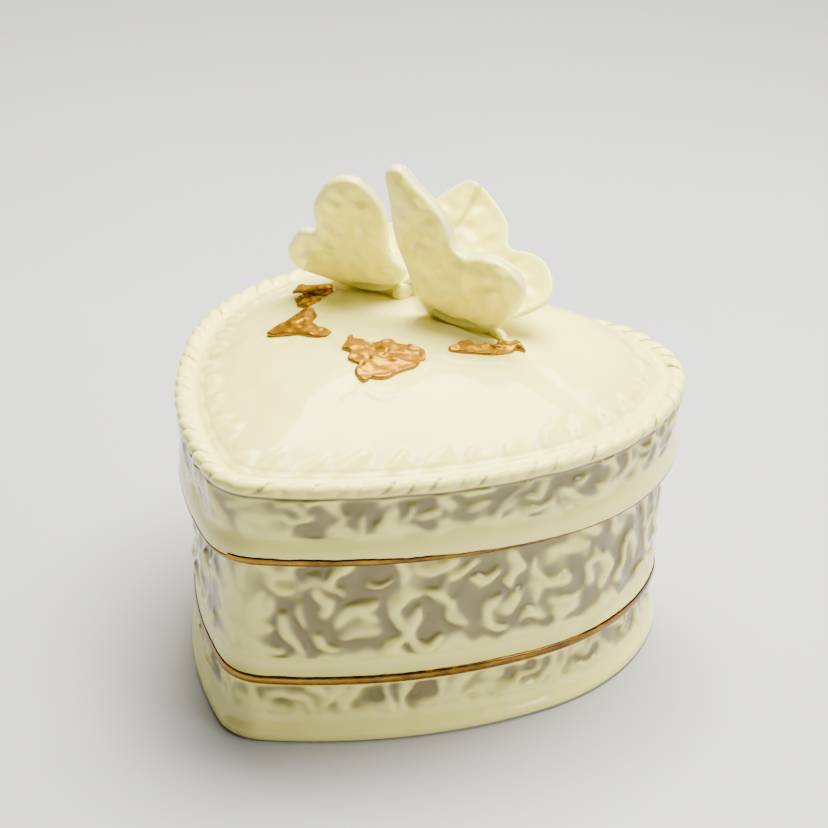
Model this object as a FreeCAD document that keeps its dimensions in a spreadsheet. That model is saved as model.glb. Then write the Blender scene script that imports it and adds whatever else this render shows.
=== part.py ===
import FreeCAD, Part
import math
import os
import Sketcher
from FreeCAD import Placement, Rotation, Vector

# Heart-shaped porcelain trinket box: a two-tier box with a lift-off domed lid.
# The lid carries two hand-built butterflies and a few gilded leaves; gilt lines run round
# the lip of the lid and round the edge of the box's skirt.
# Frame: millimetres, +Z up, origin on the table under the middle of the outline,
# point of the heart towards -Y.

doc = FreeCAD.newDocument("heart_trinket_box")

# ---------------------------------------------------------------- driving dimensions
# _z is a height above the table, _off an outward offset of the heart outline,
# _cx and _cy the distances of an arc's centre from the Y and X axes.
CELLS = [
    # heart outline: arcs that run tangent into one another, mirrored about the YZ plane
    ("tip_radius", 10.939), ("tip_cy", 40.161),
    ("side_cx", 48.71), ("side_cy", 38.77),
    ("shoulder_cx", 1.85), ("shoulder_cy", 16.58),
    ("lobe_cx", 23.10), ("lobe_cy", 25.90),
    ("notch_cy", 42.0837),
    # sections of the box, from the table up
    ("foot_z", 0.0), ("foot_off", -0.25),
    ("foot_edge_z", 0.6), ("foot_edge_off", 0.0),
    ("foot_top_z", 3.4), ("foot_top_off", -0.9),
    ("foot_neck_z", 6.0), ("foot_neck_off", -1.5),
    ("lower_wall_z", 7.2), ("lower_wall_top_z", 12.7), ("lower_wall_off", -2.0),
    ("skirt_edge_z", 13.3), ("skirt_top_z", 15.1), ("skirt_edge_off", -0.95),
    ("skirt_neck_z", 18.2), ("skirt_neck_off", -1.7),
    ("wall_z", 19.2), ("shoulder_z", 41.95), ("wall_off", -1.0),
    # inside of the box, its collar and the recess underneath
    ("inner_off", -5.0), ("floor_z", 4.5),
    ("collar_off", -3.3), ("collar_z", 46.5),
    ("recess_off", -4.2), ("recess_depth", 1.5),
    # sections of the lid, from the lip up to the groove inside the bead
    ("lid_z", 42.0), ("lip_mid_z", 44.0), ("lid_lip_off", 1.85),
    ("lip_neck_z", 47.6), ("lip_neck_off", 1.1),
    ("lid_wall_z", 49.0), ("lid_wall_off", 1.25),
    ("lid_wall_top_z", 56.9), ("lid_wall_top_off", 1.85),
    ("bead_z", 57.6), ("bead_top_z", 59.0), ("bead_off", 2.3),
    ("bead_crown_z", 59.7), ("bead_crown_off", 1.2),
    ("groove_z", 59.1), ("groove_off", -1.2),
    # dome, and the hollow of the lid beneath it
    ("dome_z", 59.0), ("dome_rise", 11.5), ("dome_power", 2.8),
    ("dome_off", -3.0), ("dome_cy", 12.0),
    ("lid_inner_off", -2.6), ("lid_inner_z", 53.6), ("lid_roof", 3.4),
    # gilding
    ("gilt_thickness", 0.2), ("gilt_line_height", 1.5),
    # applied pieces
    ("wing_thickness", 1.3), ("wing_round", 0.5),
    ("leaf_thickness", 1.7), ("leaf_sink", 0.8),
    ("butterfly_length", 20.5), ("thorax_radius", 2.2), ("head_radius", 1.75),
]
# scales of the shrinking hearts, rim to crown: outside of the dome, then its underside
DOME_STEPS = [
    ("dome_s1", 0.96), ("dome_s2", 0.89), ("dome_s3", 0.79), ("dome_s4", 0.66),
    ("dome_s5", 0.5), ("dome_s6", 0.32), ("dome_s7", 0.14),
]
ROOF_STEPS = [
    ("roof_s1", 0.93), ("roof_s2", 0.82), ("roof_s3", 0.66), ("roof_s4", 0.46),
    ("roof_s5", 0.2),
]
CELLS += DOME_STEPS + ROOF_STEPS
VALUE = dict(CELLS)

sheet = doc.addObject("Spreadsheet::Sheet", "dims")
for row, (alias, number) in enumerate(CELLS, 1):
    sheet.set("A%d" % row, alias)
    sheet.set("B%d" % row, "%g" % number)
    sheet.setAlias("B%d" % row, alias)
doc.recompute()


def cell(alias):
    """Expression that reads one cell of the sheet."""
    return "dims." + alias


# ---------------------------------------------------------------- building blocks
# Sketcher's numbers for the points of an edge and for the axes
START, END, CENTRE = 1, 2, 3
X_AXIS, Y_AXIS = -1, -2
ORIGIN = (X_AXIS, START)


def new_body(label):
    body = doc.addObject("PartDesign::Body", label)
    body.Label = label
    return body


def new_sketch(body, name, role="XY_Plane"):
    sketch = body.newObject("Sketcher::SketchObject", name)
    plane = [f for f in body.Origin.OriginFeatures if f.Role == role][0]
    sketch.AttachmentSupport = [(plane, "")]
    sketch.MapMode = "FlatFace"
    return sketch


def constrain(sketch, *definition):
    return sketch.addConstraint(Sketcher.Constraint(*definition))


def constrain_to(sketch, expression, *definition):
    """Adds a constraint whose value follows an expression."""
    index = constrain(sketch, *definition)
    sketch.setExpression("Constraints[%d]" % index, expression)


def extrude(body, kind, name, sketch, length):
    """Pad or Pocket of a sketch; length is an expression."""
    feature = body.newObject("PartDesign::" + kind, name)
    feature.Profile = sketch
    feature.setExpression("Length", length)
    return feature


def loft(body, kind, name, sections):
    feature = body.newObject("PartDesign::" + kind, name)
    feature.Profile = sections[0]
    feature.Sections = sections[1:]
    feature.Ruled = True
    feature.Closed = False


def unit(components):
    vector = Vector(*components)
    vector.normalize()
    return vector


def basis(x, y, z, at):
    """Placement whose local axes are x, y and z and whose origin is at."""
    return Placement(FreeCAD.Matrix(
        x.x, y.x, z.x, at.x,
        x.y, y.y, z.y, at.y,
        x.z, y.z, z.z, at.z,
        0, 0, 0, 1))


# ---------------------------------------------------------------- the heart outline
def direction(start, end):
    return math.atan2(end.y - start.y, end.x - start.x)


def distance(start, end):
    return math.hypot(end.x - start.x, end.y - start.y)


def mirrored(centre):
    return Vector(-centre.x, centre.y, 0)


def heart(sketch, offsets, scale=None):
    """Adds one closed heart of eight tangent arcs, every centre fixed by the sheet.
    It is offset outwards by the sum of the cells in offsets and scaled about the
    sketch's origin by the cell scale."""
    factor = VALUE[scale] if scale else 1.0
    times = " * " + cell(scale) if scale else ""

    # centres for the right half; those of side and shoulder lie left of the YZ plane
    tip = Vector(0, -VALUE["tip_cy"], 0)
    side = Vector(-VALUE["side_cx"], VALUE["side_cy"], 0)
    shoulder = Vector(-VALUE["shoulder_cx"], VALUE["shoulder_cy"], 0)
    lobe = Vector(VALUE["lobe_cx"], VALUE["lobe_cy"], 0)
    notch = Vector(0, VALUE["notch_cy"], 0)

    # tangent arcs meet on the line through their centres
    side_start = direction(side, tip)
    side_end = direction(side, shoulder)
    shoulder_end = direction(shoulder, lobe)
    lobe_end = direction(lobe, notch)
    tip_radius = VALUE["tip_radius"] + sum(VALUE[offset] for offset in offsets)
    side_radius = tip_radius + distance(side, tip)
    shoulder_radius = side_radius - distance(side, shoulder)
    lobe_radius = shoulder_radius - distance(shoulder, lobe)
    notch_radius = distance(lobe, notch) - lobe_radius

    def arc(centre, radius, start, end):
        circle = Part.Circle(centre * factor, Vector(0, 0, 1), radius * factor)
        return sketch.addGeometry(Part.ArcOfCircle(circle, start, end), False)

    pi = math.pi
    tip_arc = arc(tip, tip_radius, pi - side_start, 2 * pi + side_start)
    right_side = arc(side, side_radius, side_start, side_end)
    right_shoulder = arc(shoulder, shoulder_radius, side_end, shoulder_end)
    right_lobe = arc(lobe, lobe_radius, shoulder_end, lobe_end)
    notch_arc = arc(notch, notch_radius, 2 * pi - lobe_end, pi + lobe_end)
    left_lobe = arc(mirrored(lobe), lobe_radius, pi - lobe_end, pi - shoulder_end)
    left_shoulder = arc(mirrored(shoulder), shoulder_radius,
                        pi - shoulder_end, pi - side_end)
    left_side = arc(mirrored(side), side_radius, pi - side_end, pi - side_start)

    for joint in (
        (tip_arc, END, right_side, START),
        (right_side, END, right_shoulder, START),
        (right_shoulder, END, right_lobe, START),
        (right_lobe, END, notch_arc, END),
        (left_lobe, END, left_shoulder, START),
        (left_shoulder, END, left_side, START),
        (left_side, END, tip_arc, START),
    ):
        constrain(sketch, "Tangent", *joint)
    # the left lobe meets the notch by symmetry
    constrain(sketch, "Horizontal", notch_arc, START, notch_arc, END)
    constrain(sketch, "Horizontal", left_lobe, START, right_lobe, END)

    def fix(kind, start, end, alias):
        constrain_to(sketch, cell(alias) + times, kind, *start, *end, VALUE[alias] * factor)

    constrain(sketch, "PointOnObject", tip_arc, CENTRE, Y_AXIS)
    fix("DistanceY", (tip_arc, CENTRE), ORIGIN, "tip_cy")
    constrain(sketch, "PointOnObject", notch_arc, CENTRE, Y_AXIS)
    fix("DistanceY", ORIGIN, (notch_arc, CENTRE), "notch_cy")
    # arc, its dimensions, whether its centre lies at +X
    for index, name, at_plus_x in (
        (right_side, "side", False),
        (right_shoulder, "shoulder", False),
        (left_side, "side", True),
        (left_shoulder, "shoulder", True),
        (right_lobe, "lobe", True),
        (left_lobe, "lobe", False),
    ):
        centre = (index, CENTRE)
        start, end = (ORIGIN, centre) if at_plus_x else (centre, ORIGIN)
        fix("DistanceX", start, end, name + "_cx")
        fix("DistanceY", ORIGIN, centre, name + "_cy")
    radius = " + ".join(cell(alias) for alias in ("tip_radius",) + tuple(offsets))
    constrain_to(sketch, "(%s)%s" % (radius, times), "Radius", tip_arc, tip_radius * factor)


def heart_section(body, name, height, offset, scale=None):
    """One heart at the height given by an expression. A scaled heart shrinks about
    the dome's centre."""
    sketch = new_sketch(body, name)
    heart(sketch, (offset,), scale)
    sketch.setExpression("AttachmentOffset.Base.z", height)
    if scale:
        sketch.setExpression("AttachmentOffset.Base.y", "dims.dome_cy * (1 - %s)" % cell(scale))
    return sketch


def heart_sections(body, table):
    return [heart_section(body, "sec_" + name, cell(height), offset)
            for name, height, offset in table]


def dome_sections(body, steps, base):
    """Shrinking hearts that rise from the height base along the dome's curve."""
    rise = " + dims.dome_rise * (1 - %s ^ dims.dome_power)"
    return [heart_section(body, "sec_" + alias, base + rise % cell(alias), "dome_off", alias)
            for alias, _ in steps]


# ---------------------------------------------------------------- the box
# section, height cell, offset cell
BOX_OUTSIDE = (
    ("foot", "foot_z", "foot_off"),
    ("foot_edge", "foot_edge_z", "foot_edge_off"),
    ("foot_top", "foot_top_z", "foot_top_off"),
    ("foot_neck", "foot_neck_z", "foot_neck_off"),
    ("lower_wall", "lower_wall_z", "lower_wall_off"),
    ("lower_wall_top", "lower_wall_top_z", "lower_wall_off"),
    ("skirt_edge", "skirt_edge_z", "skirt_edge_off"),
    ("skirt_top", "skirt_top_z", "skirt_edge_off"),
    ("skirt_neck", "skirt_neck_z", "skirt_neck_off"),
    ("wall", "wall_z", "wall_off"),
    ("shoulder", "shoulder_z", "wall_off"),
)


def make_box():
    body = new_body("box_body")
    loft(body, "AdditiveLoft", "box_outside", heart_sections(body, BOX_OUTSIDE))

    # locating collar that the lid drops over
    outline = heart_section(body, "collar_outline", cell("shoulder_z"), "collar_off")
    extrude(body, "Pad", "collar", outline, "dims.collar_z - dims.shoulder_z")

    # hollow, from the top of the collar down to the floor
    outline = heart_section(body, "hollow_outline", cell("collar_z"), "inner_off")
    extrude(body, "Pocket", "hollow", outline, "dims.collar_z - dims.floor_z")

    # shallow recess under the floor, cut upwards; it leaves an unglazed foot ring
    outline = heart_section(body, "recess_outline", cell("foot_z"), "recess_off")
    recess = extrude(body, "Pocket", "recess", outline, cell("recess_depth"))
    recess.Reversed = True
    return body


def gilt_line(label, name, edge_offset, base, height):
    """A thin ring round the outside of the heart with the offset edge_offset."""
    body = new_body(label)
    outline = new_sketch(body, name + "_outline")
    heart(outline, (edge_offset, "gilt_thickness"))
    heart(outline, (edge_offset,))
    outline.setExpression("AttachmentOffset.Base.z", cell(base))
    extrude(body, "Pad", name, outline, height)


# ---------------------------------------------------------------- the lid
# section, height cell, offset cell
LID_OUTSIDE = (
    ("lip", "lid_z", "lid_lip_off"),
    ("lip_mid", "lip_mid_z", "lid_lip_off"),
    ("lip_neck", "lip_neck_z", "lip_neck_off"),
    ("lid_wall", "lid_wall_z", "lid_wall_off"),
    ("lid_wall_top", "lid_wall_top_z", "lid_wall_top_off"),
    ("bead", "bead_z", "bead_off"),
    ("bead_top", "bead_top_z", "bead_off"),
    ("bead_crown", "bead_crown_z", "bead_crown_off"),
    ("groove", "groove_z", "groove_off"),
)
LID_INSIDE = (
    ("mouth", "lid_z", "lid_inner_off"),
    ("inner_wall", "lid_inner_z", "lid_inner_off"),
)


def make_lid():
    body = new_body("lid_shell")
    sections = heart_sections(body, LID_OUTSIDE)
    sections += dome_sections(body, DOME_STEPS, "dims.dome_z")
    loft(body, "AdditiveLoft", "lid_outside", sections)

    sections = heart_sections(body, LID_INSIDE)
    sections += dome_sections(body, ROOF_STEPS, "dims.dome_z - dims.lid_roof")
    loft(body, "SubtractiveLoft", "lid_hollow", sections)
    return body


box = make_box()
gilt_line("box_gilt_band", "band", "skirt_edge_off", "skirt_edge_z",
          "dims.skirt_top_z - dims.skirt_edge_z")
lid = make_lid()
gilt_line("lid_gilt_line", "line", "lid_lip_off", "lid_z", cell("gilt_line_height"))

# ---------------------------------------------------------------- the butterflies' wings
# Closed outlines from the root point: distance along the body towards the head,
# distance outwards from the body. Front wings lie towards -Y, rear wings towards +Y.
LEFT_FRONT = (
    (-7.69, 15.85), (-9.72, 15.91), (-11.88, 15.44), (-13.60, 13.89), (-15.21, 12.24),
    (-16.62, 10.58), (-17.51, 8.47), (-17.54, 6.10), (-16.43, 4.35), (-14.51, 3.26),
    (-12.43, 2.35), (-10.39, 1.44), (-8.36, 0.57), (-6.30, -0.26), (-4.19, -1.01),
    (-1.98, -1.67), (0.28, -2.09), (2.46, -1.94), (4.46, -1.04), (6.34, 0.31),
    (8.15, 1.78), (9.24, 3.43), (9.03, 5.49), (8.34, 7.76), (8.13, 10.02),
    (8.73, 12.18), (9.52, 14.32), (10.24, 16.50), (10.80, 18.68), (11.11, 20.85),
    (11.10, 23.03), (10.74, 25.30), (9.97, 27.59), (8.71, 29.44), (6.87, 30.39),
    (4.68, 30.43), (2.45, 29.75), (0.49, 28.57), (-1.19, 27.11), (-2.81, 25.58),
    (-4.30, 23.94), (-5.46, 22.05), (-6.23, 19.87), (-6.79, 17.53),
)
LEFT_REAR = (
    (-3.24, 17.13), (-1.63, 18.62), (0.04, 20.27), (1.92, 21.76), (4.09, 22.76),
    (6.27, 22.90), (8.20, 22.09), (9.83, 20.58), (11.10, 18.61), (11.96, 16.41),
    (12.38, 14.17), (12.40, 11.92), (12.06, 9.69), (11.40, 7.51), (10.45, 5.39),
    (9.26, 3.37), (7.83, 1.55), (6.18, 0.06), (4.29, -1.00), (2.22, -1.61),
    (0.01, -1.82), (-2.27, -1.65), (-4.57, -1.16), (-6.84, -0.38), (-9.00, 0.68),
    (-10.95, 1.99), (-12.60, 3.55), (-13.85, 5.35), (-14.59, 7.38), (-14.73, 9.62),
    (-14.27, 11.89), (-13.26, 13.93), (-11.72, 15.47), (-9.71, 16.26), (-7.33, 16.21),
    (-5.04, 16.21),
)
RIGHT_FRONT = (
    (20.52, 31.86), (18.72, 33.50), (16.57, 33.79), (14.83, 32.45), (13.11, 30.78),
    (11.29, 29.33), (9.49, 27.91), (7.87, 26.36), (6.57, 24.49), (5.69, 22.17),
    (4.97, 19.80), (3.90, 18.09), (2.00, 17.88), (-0.28, 18.55), (-2.50, 19.03),
    (-4.90, 19.11), (-7.27, 18.65), (-9.26, 17.54), (-10.54, 15.70), (-11.04, 13.42),
    (-10.85, 11.16), (-10.09, 9.05), (-8.97, 7.03), (-7.68, 5.04), (-6.30, 3.08),
    (-4.80, 1.27), (-3.13, -0.28), (-1.24, -1.43), (0.91, -2.09), (3.23, -2.36),
    (5.58, -2.45), (7.84, -2.45), (10.06, -1.93), (12.12, -0.80), (13.81, 0.80),
    (14.96, 2.73), (15.73, 4.87), (16.36, 7.11), (17.09, 9.34), (17.93, 11.52),
    (18.74, 13.69), (19.36, 15.89), (19.75, 18.13), (19.99, 20.42), (20.19, 22.73),
    (20.43, 25.06), (20.79, 27.42), (21.06, 29.73),
)
RIGHT_REAR = (
    (23.65, 24.67), (22.70, 26.67), (21.37, 28.84), (19.89, 30.89), (18.01, 31.59),
    (15.83, 30.95), (13.66, 29.90), (11.55, 28.65), (9.54, 27.32), (7.68, 25.97),
    (6.02, 24.40), (4.61, 22.35), (3.41, 19.86), (1.70, 18.92), (-0.59, 19.36),
    (-2.94, 19.48), (-5.22, 18.84), (-7.31, 17.55), (-9.08, 15.79), (-10.34, 13.74),
    (-10.92, 11.55), (-10.64, 9.40), (-9.41, 7.42), (-7.62, 5.61), (-5.78, 3.90),
    (-4.17, 2.30), (-2.53, 0.87), (-0.58, -0.30), (1.74, -1.15), (4.27, -1.61),
    (6.82, -1.63), (9.20, -1.16), (11.27, -0.17), (13.06, 1.25), (14.62, 2.99),
    (16.01, 4.94), (17.30, 6.98), (18.52, 9.04), (19.66, 11.12), (20.72, 13.25),
    (21.68, 15.43), (22.53, 17.69), (23.27, 20.04), (23.76, 22.44),
)
LEFT_ROOT = (-15.8, 15.6, 71.6)
RIGHT_ROOT = (13.0, 12.6, 71.2)
RIGHT_ALONG = (-0.99513, -0.06959, 0.06976)
# label, outline, root point, direction towards the head, direction outwards
WINGS = (
    ("left_wing_front", LEFT_FRONT, LEFT_ROOT,
     (0.97086, 0.11921, 0.20791), (-0.13895, -0.42685, 0.89358)),
    ("left_wing_rear", LEFT_REAR, LEFT_ROOT,
     (0.98228, 0.15558, 0.10453), (-0.18586, 0.88056, 0.43597)),
    ("right_wing_front", RIGHT_FRONT, RIGHT_ROOT,
     RIGHT_ALONG, (0.08349, -0.21966, 0.972)),
    ("right_wing_rear", RIGHT_REAR, RIGHT_ROOT,
     RIGHT_ALONG, (-0.01723, 0.81995, 0.57218)),
)
RIM_MIN_LENGTH = 20
FLAT_TOLERANCE = 1e-6


def wing(label, outline, root, along, outward):
    """A thin wing of rolled clay with rounded rims, centred on the plane of its root."""
    body = new_body(label)
    sketch = new_sketch(body, label + "_outline")
    curve = Part.BSplineCurve()
    curve.interpolate(Points=[Vector(x, y, 0) for x, y in outline], PeriodicFlag=True)
    sketch.addGeometry(curve, False)
    pad = extrude(body, "Pad", label + "_sheet", sketch, cell("wing_thickness"))

    # the rims are the long edges that lie flat; the pad must be built to find them
    doc.recompute()
    rims = ["Edge%d" % number for number, edge in enumerate(pad.Shape.Edges, 1)
            if edge.Length > RIM_MIN_LENGTH
            and abs(edge.BoundBox.ZMax - edge.BoundBox.ZMin) < FLAT_TOLERANCE]
    rounding = body.newObject("PartDesign::Fillet", label + "_rim")
    rounding.Base = (pad, rims)
    rounding.setExpression("Radius", cell("wing_round"))

    x = unit(along)
    y = unit(outward)
    z = x.cross(y)
    body.Placement = basis(x, y, z, Vector(*root) - z * (VALUE["wing_thickness"] / 2.0))


for entry in WINGS:
    wing(*entry)

# ---------------------------------------------------------------- the butterflies' bodies
THORAX, HEAD = VALUE["thorax_radius"], VALUE["head_radius"]
# fraction of the length from the tail, radius there
BUTTERFLY_PROFILE = (
    (0, 0), (0.035, 0.35 * THORAX), (0.2, 0.66 * THORAX), (0.4, 0.78 * THORAX),
    (0.52, 0.72 * THORAX), (0.6, 0.92 * THORAX), (0.7, THORAX), (0.79, 0.86 * THORAX),
    (0.84, 0.78 * HEAD), (0.9, HEAD), (0.96, 0.8 * HEAD), (1, 0),
)
# label, tail point, point the head faces; the heads are together
BUTTERFLIES = (
    ("left_butterfly_body", (-26.9, 18.0, 69.4), (-7.3, 16.5, 72.0)),
    ("right_butterfly_body", (18.6, 13.0, 70.6), (-1.8, 11.6, 71.9)),
)


def butterfly(label, tail, head):
    """Abdomen, thorax and head turned about one axis."""
    body = new_body(label)
    sketch = new_sketch(body, label + "_profile", "XZ_Plane")
    length = VALUE["butterfly_length"]
    curve = Part.BSplineCurve()
    curve.interpolate([Vector(part * length, radius, 0) for part, radius in BUTTERFLY_PROFILE])
    profile = sketch.addGeometry(curve, False)
    axis = sketch.addGeometry(Part.LineSegment(Vector(length, 0, 0), Vector(0, 0, 0)), False)
    constrain(sketch, "Coincident", profile, END, axis, START)
    constrain(sketch, "Coincident", axis, END, profile, START)
    constrain(sketch, "Coincident", axis, END, *ORIGIN)
    constrain(sketch, "PointOnObject", axis, START, X_AXIS)
    constrain_to(sketch, cell("butterfly_length"),
                 "DistanceX", axis, END, axis, START, length)

    turned = body.newObject("PartDesign::Revolution", label + "_turned")
    turned.Profile = sketch
    turned.ReferenceAxis = (sketch, ["H_Axis"])
    turned.Angle = 360.0
    start = Vector(*tail)
    body.Placement = Placement(start, Rotation(Vector(1, 0, 0), Vector(*head) - start))


for entry in BUTTERFLIES:
    butterfly(*entry)

# ---------------------------------------------------------------- the gilded leaves
# label, outline in the leaf's own plane (x roughly +X, y roughly +Y),
# centre on the dome, direction it faces
LEAVES = (
    ("leaf_left_upper", (
        (-4.61, -1.47), (-5.64, 1.22), (-5.85, 2.89), (-4.33, 2.81), (-1.04, 2.62),
        (3.09, 3.00), (4.58, 1.23), (6.35, -0.93), (6.35, -2.72), (4.94, -2.97),
        (1.77, -2.39), (-1.27, -1.72), (-3.17, -1.47),
    ), (-29.01, 11.95, 67.48), (-0.2797, -0.0268, 0.9597)),
    ("leaf_left_middle", (
        (-3.43, 0.30), (-2.98, 1.88), (-3.72, 3.88), (-1.61, 2.96), (1.31, 2.03),
        (3.51, 1.25), (3.64, -0.35), (3.25, -1.97), (2.72, -3.04), (0.77, -2.98),
        (-0.20, -2.78), (-2.01, -0.79),
    ), (-26.1, 5.76, 67.93), (-0.2471, -0.0811, 0.9656)),
    ("leaf_left_long", (
        (-6.05, -4.50), (-5.91, -2.89), (-5.32, -0.81), (-4.81, 1.37), (-4.73, 4.10),
        (-4.48, 6.26), (-3.68, 7.34), (-2.23, 6.84), (0.60, 4.47), (1.15, 2.67),
        (1.38, 1.31), (4.09, 0.11), (6.33, -0.14), (8.63, -1.22), (8.58, -2.89),
        (7.00, -3.86), (4.58, -4.06), (1.53, -3.81), (-1.24, -4.37), (-4.19, -5.12),
    ), (-18.99, -4.69, 68.31), (-0.1961, -0.1337, 0.9714)),
    ("leaf_front", (
        (-8.20, -1.43), (-9.02, 1.00), (-9.79, 3.04), (-9.47, 3.97), (-8.18, 2.92),
        (-7.47, 3.31), (-6.25, 3.01), (-4.68, 2.92), (-3.66, 3.58), (-2.93, 4.62),
        (-2.34, 5.86), (-1.42, 6.32), (0.09, 5.93), (1.43, 6.48), (2.76, 7.05),
        (4.15, 7.17), (5.38, 7.18), (6.28, 6.94), (8.12, 4.68), (7.57, 3.74),
        (8.08, 2.34), (7.90, 0.87), (7.35, -0.04), (6.93, -0.82), (6.28, -2.63),
        (6.13, -4.43), (5.43, -5.81), (4.20, -6.80), (3.24, -7.14), (3.34, -8.28),
        (2.75, -9.13), (1.38, -8.60), (-0.22, -7.77), (-1.08, -6.30), (-1.43, -4.83),
        (-2.83, -4.94), (-4.36, -4.54), (-5.22, -2.73), (-5.79, -1.63), (-7.09, -1.58),
    ), (3.66, -9.24, 69.71), (0.0651, -0.0918, 0.9936)),
    ("leaf_right", (
        (-6.13, -6.25), (-6.27, -5.35), (-5.59, -4.21), (-5.36, -2.41), (-4.16, -1.29),
        (-2.90, -1.70), (-2.02, -0.83), (-0.64, 0.02), (0.44, 0.61), (-0.08, 2.84),
        (0.41, 3.95), (1.33, 4.41), (1.94, 5.72), (2.71, 6.05), (4.12, 5.42),
        (5.23, 4.49), (5.91, 4.21), (4.69, 3.82), (4.04, 3.31), (4.01, 1.89),
        (3.34, 0.32), (2.56, -1.07), (1.53, -2.43), (-0.12, -3.60), (-1.79, -4.74),
        (-3.47, -5.84), (-5.17, -6.91),
    ), (18.86, 8.09, 69.49), (0.1397, -0.0415, 0.9893)),
)


def leaf(label, outline, centre, normal):
    """A small flat leaf pressed into the dome."""
    body = new_body(label)
    sketch = new_sketch(body, label + "_outline")
    corners = [Vector(x, y, 0) for x, y in outline]
    count = len(corners)
    for i in range(count):
        sketch.addGeometry(Part.LineSegment(corners[i], corners[(i + 1) % count]), False)
    for i in range(count):
        constrain(sketch, "Coincident", i, END, (i + 1) % count, START)
    extrude(body, "Pad", label + "_sheet", sketch, cell("leaf_thickness"))

    z = unit(normal)
    x = unit(Vector(0, 1, 0).cross(z))
    body.Placement = basis(x, z.cross(x), z, Vector(*centre) - z * VALUE["leaf_sink"])


for entry in LEAVES:
    leaf(*entry)

doc.recompute()

# ---------------------------------------------------------------- checks and export
MAX_BOX_FILL = 0.6  # share of the block round the foot that the hollow box may fill
# feature, the one it cuts, least volume it must remove
CUTS = (
    ("hollow", "collar", 100.0),
    ("recess", "hollow", 100.0),
    ("lid_hollow", "lid_outside", 1000.0),
)

for item in doc.Objects:
    if "Invalid" in item.State or "Error" in item.State:
        raise RuntimeError("%s failed: %s" % (item.Label, item.State))

foot = doc.getObject("sec_foot").Shape.BoundBox
if box.Shape.Volume >= MAX_BOX_FILL * foot.XLength * foot.YLength * VALUE["collar_z"]:
    raise RuntimeError("the box is not hollow")
for after, before, least in CUTS:
    removed = doc.getObject(before).Shape.Volume - doc.getObject(after).Shape.Volume
    if not removed > least:
        raise RuntimeError("%s cut too little" % after)

os.makedirs("parts", exist_ok=True)
for body in doc.Objects:
    if body.TypeId == "PartDesign::Body":
        shape = body.Shape
        if shape.isNull() or not shape.isValid() or len(shape.Solids) != 1:
            raise RuntimeError("%s has a bad shape" % body.Label)
        shape.exportStep("parts/%s.step" % body.Label)
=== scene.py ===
"""A glazed, slip-cast heart-shaped box with a domed lid that carries two butterflies and five
gilded leaves.

Shapes are worked out in millimetres and scaled to metres as each mesh is made. The box stands
on z = 0. The heart is symmetric about x = 0: its point is towards -Y, its notch towards +Y.
Left is -X, right is +X and front is -Y. Lights, floor and camera are in metres.
"""
import math

import bpy
import numpy as np
from mathutils import Matrix, Vector, geometry


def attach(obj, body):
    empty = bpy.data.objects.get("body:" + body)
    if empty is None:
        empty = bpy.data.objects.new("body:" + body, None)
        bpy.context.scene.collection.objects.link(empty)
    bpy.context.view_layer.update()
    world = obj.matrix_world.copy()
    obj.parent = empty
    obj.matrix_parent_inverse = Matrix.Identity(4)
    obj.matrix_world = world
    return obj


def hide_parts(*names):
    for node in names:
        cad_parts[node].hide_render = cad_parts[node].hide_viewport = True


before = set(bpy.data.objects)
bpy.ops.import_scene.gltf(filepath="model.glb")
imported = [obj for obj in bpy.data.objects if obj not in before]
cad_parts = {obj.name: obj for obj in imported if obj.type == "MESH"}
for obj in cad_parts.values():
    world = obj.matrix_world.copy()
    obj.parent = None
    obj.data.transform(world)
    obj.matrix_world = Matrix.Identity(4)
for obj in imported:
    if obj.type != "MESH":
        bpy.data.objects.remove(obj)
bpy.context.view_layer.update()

MM = 0.001
CAMERA_AT = (0.24636, -0.35103, 0.27242)

# ------------------------------------------------------------------ driving dimensions
# centres of the arcs of the right half of the outline, and the arcs' radii
NOTCH, LOBE, SHOULDER = (0.0, 42.0837), (23.10, 25.90), (-1.85, 16.58)
SIDE, TIP = (-48.71, 38.77), (0.0, -40.161)
NOTCH_R, LOBE_R, SHOULDER_R, SIDE_R, TIP_R = 3.0, 25.205, 51.843, 103.692, 10.939

BOX_COLUMNS, LID_COLUMNS, GILT_COLUMNS = 592, 630, 1000
DOME_CENTRE = np.array([0.0, 12.0])
DOME_RIM_OFFSET = -3.0   # the dome starts this far from the outline
DOME_RIM_Z, DOME_RISE, DOME_POWER = 59.0, 11.5, 2.8
LID_THICKNESS = 3.4
LID_SEAT_Z = 42.0
BOX_SEAT_Z = 41.95
FLOOR_Z = 4.5            # inside floor of the box
UNDER_Z, UNDER_ARCH = 1.5, 0.12
CELL = 0.4               # grid of the wall relief
WALL_CELLS = 160         # cells up the wall

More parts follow.
